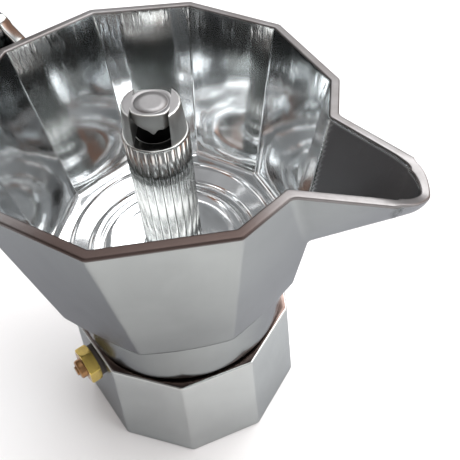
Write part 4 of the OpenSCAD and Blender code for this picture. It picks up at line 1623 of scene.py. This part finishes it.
@dataclass
class Studio:
    """Pale floor, soft lights, pale room and the camera."""

    eye: Colour = (0.050408, -0.062990, 0.171605)
    heading: float = math.radians(25.26)
    down: float = math.radians(52.22)
    roll: float = math.radians(0.64)
    lens: float = 37.566
    shift: tuple[float, float] = (-0.0293, 0.0044)
    sun_power: float = 2.7
    sun_width: float = math.radians(56)
    floor_half: float = 40.0

    def build(self) -> None:
        """Makes the whole set."""
        self.camera()
        self.floor()
        self.room()
        Softbox("side_box", (0.85, 0.1, 0.5), 0.4, 1.2).build()
        Softbox("front_box", (0.35, -0.8, 0.6), 0.4, 1.0).build()
        self.sun()
        bpy.context.scene.view_settings.view_transform = "Standard"

    def sun(self) -> None:
        """Adds the wide soft key light, which lights the whole floor alike."""
        lamp = bpy.data.lights.new("key_light", "SUN")
        lamp.energy, lamp.angle = self.sun_power, self.sun_width
        holder = bpy.data.objects.new("key_light", lamp)
        holder.rotation_euler = Vector((-0.12, -0.42, -1.0)).to_track_quat("-Z", "Y").to_euler()
        bpy.context.scene.collection.objects.link(holder)

    def camera(self) -> None:
        """Places the camera above and in front of the spout's side."""
        c, s = math.cos(self.down), math.sin(self.down)
        forward = Vector((-math.sin(self.heading) * c, math.cos(self.heading) * c, -s))
        right = forward.cross(Vector((0, 0, 1))).normalized()
        up = right.cross(forward)
        level_right = right * math.cos(self.roll) + up * math.sin(self.roll)
        level_up = up * math.cos(self.roll) - right * math.sin(self.roll)
        turn = Matrix((level_right, level_up, -forward)).transposed().to_4x4()
        lens = bpy.data.cameras.new("camera")
        lens.lens, lens.sensor_width = self.lens, 36.0
        lens.shift_x, lens.shift_y = self.shift
        lens.clip_start = 0.005
        holder = bpy.data.objects.new("camera", lens)
        holder.matrix_world = Matrix.Translation(self.eye) @ turn
        bpy.context.scene.collection.objects.link(holder)
        bpy.context.scene.camera = holder

    def floor(self) -> None:
        """Makes the pale floor."""
        material, b = new_material("pale_floor")
        grain = b.noise(30, detail=3)
        finish_surface(b, {"Base Color": b.blend(grain, (0.93, 0.93, 0.93), (0.90, 0.90, 0.90)),
                           "Roughness": 0.8 + grain * 0.1})
        size = self.floor_half
        mesh = bpy.data.meshes.new("floor")
        corners = [(-size, -size, 0), (size, -size, 0), (size, size, 0), (-size, size, 0)]
        mesh.from_pydata(corners, [], [(0, 1, 2, 3)])
        mesh.materials.append(material)
        piece = bpy.data.objects.new("floor", mesh)
        bpy.context.scene.collection.objects.link(piece)
        piece.location.z = -0.0002

    def room(self) -> None:
        """Makes a room that is pale behind the pot and patchy where the metal mirrors it."""
        world = bpy.data.worlds.new("room")
        world.use_nodes = True
        bpy.context.scene.world = world
        b = Bench(world.node_tree)
        where = b.make("ShaderNodeTexCoord").outputs["Generated"]
        parts = b.make("ShaderNodeSeparateXYZ", None, {"Vector": where}).outputs
        height = Term(b, parts["Z"])

        def patch(direction: Colour, wide: float, soft: float) -> Term:
            """Spot of the room round a direction.

            Args:
                direction: Where its middle is.
                wide: How far it is full, in degrees.
                soft: Width of its edge, in degrees.

            Returns:
                1 in the spot and 0 away from it.
            """
            aim = Vector(direction).normalized()
            near = b.term("ShaderNodeVectorMath", {"operation": "DOT_PRODUCT"}, {0: where, 1: tuple(aim)}, "Value")
            return near.band(math.cos(math.radians(wide + soft)), math.cos(math.radians(wide)))

        across = Term(b, parts["X"])
        sky = 0.16 + across.band(-0.9, 0.5) * 0.34 + height.band(-0.1, 0.9) * 0.18
        sky = sky + patch((-0.3, 0.55, 0.78), 24, 6) * 1.3 + patch((0.9, 0.2, 0.45), 14, 8) * 1.2
        sky = sky - patch((0.3, -0.6, 0.75), 30, 16) * 0.22
        brown = (patch((0.7, 0.75, 0.35), 18, 14) + patch((-0.9, -0.2, 0.3), 16, 12)
                 + patch((0.25, -0.95, 0.35), 16, 10) + patch((-0.55, -0.5, 0.7), 9, 6))
        tint = b.blend(brown, (1.0, 1.0, 1.02), (0.75, 0.42, 0.30))
        seen = b.make("ShaderNodeLightPath").outputs["Is Camera Ray"]
        mirrored = b.make("ShaderNodeBackground", None, {"Color": tint, "Strength": sky})
        plain = b.make("ShaderNodeBackground", None, {"Color": (1, 1, 1, 1), "Strength": 1.0})
        mix = b.make("ShaderNodeMixShader", None, {0: seen, 1: mirrored.outputs[0], 2: plain.outputs[0]})
        b.make("ShaderNodeOutputWorld", None, {"Surface": mix.outputs[0]})


def main() -> None:
    """Builds the pot and its studio, piece by piece."""
    logging.basicConfig(level=logging.INFO, format="%(name)s: %(message)s")
    palette = Palette()
    threads = thread_tree()
    Boiler(palette, threads).build()
    SafetyValve(palette).build()
    UpperChamber(palette, threads, rib_tree()).build()
    Handle(palette).build()
    Lid(palette).build()
    Inner(palette).dress()
    Studio().build()


if __name__ == "__main__":
    main()
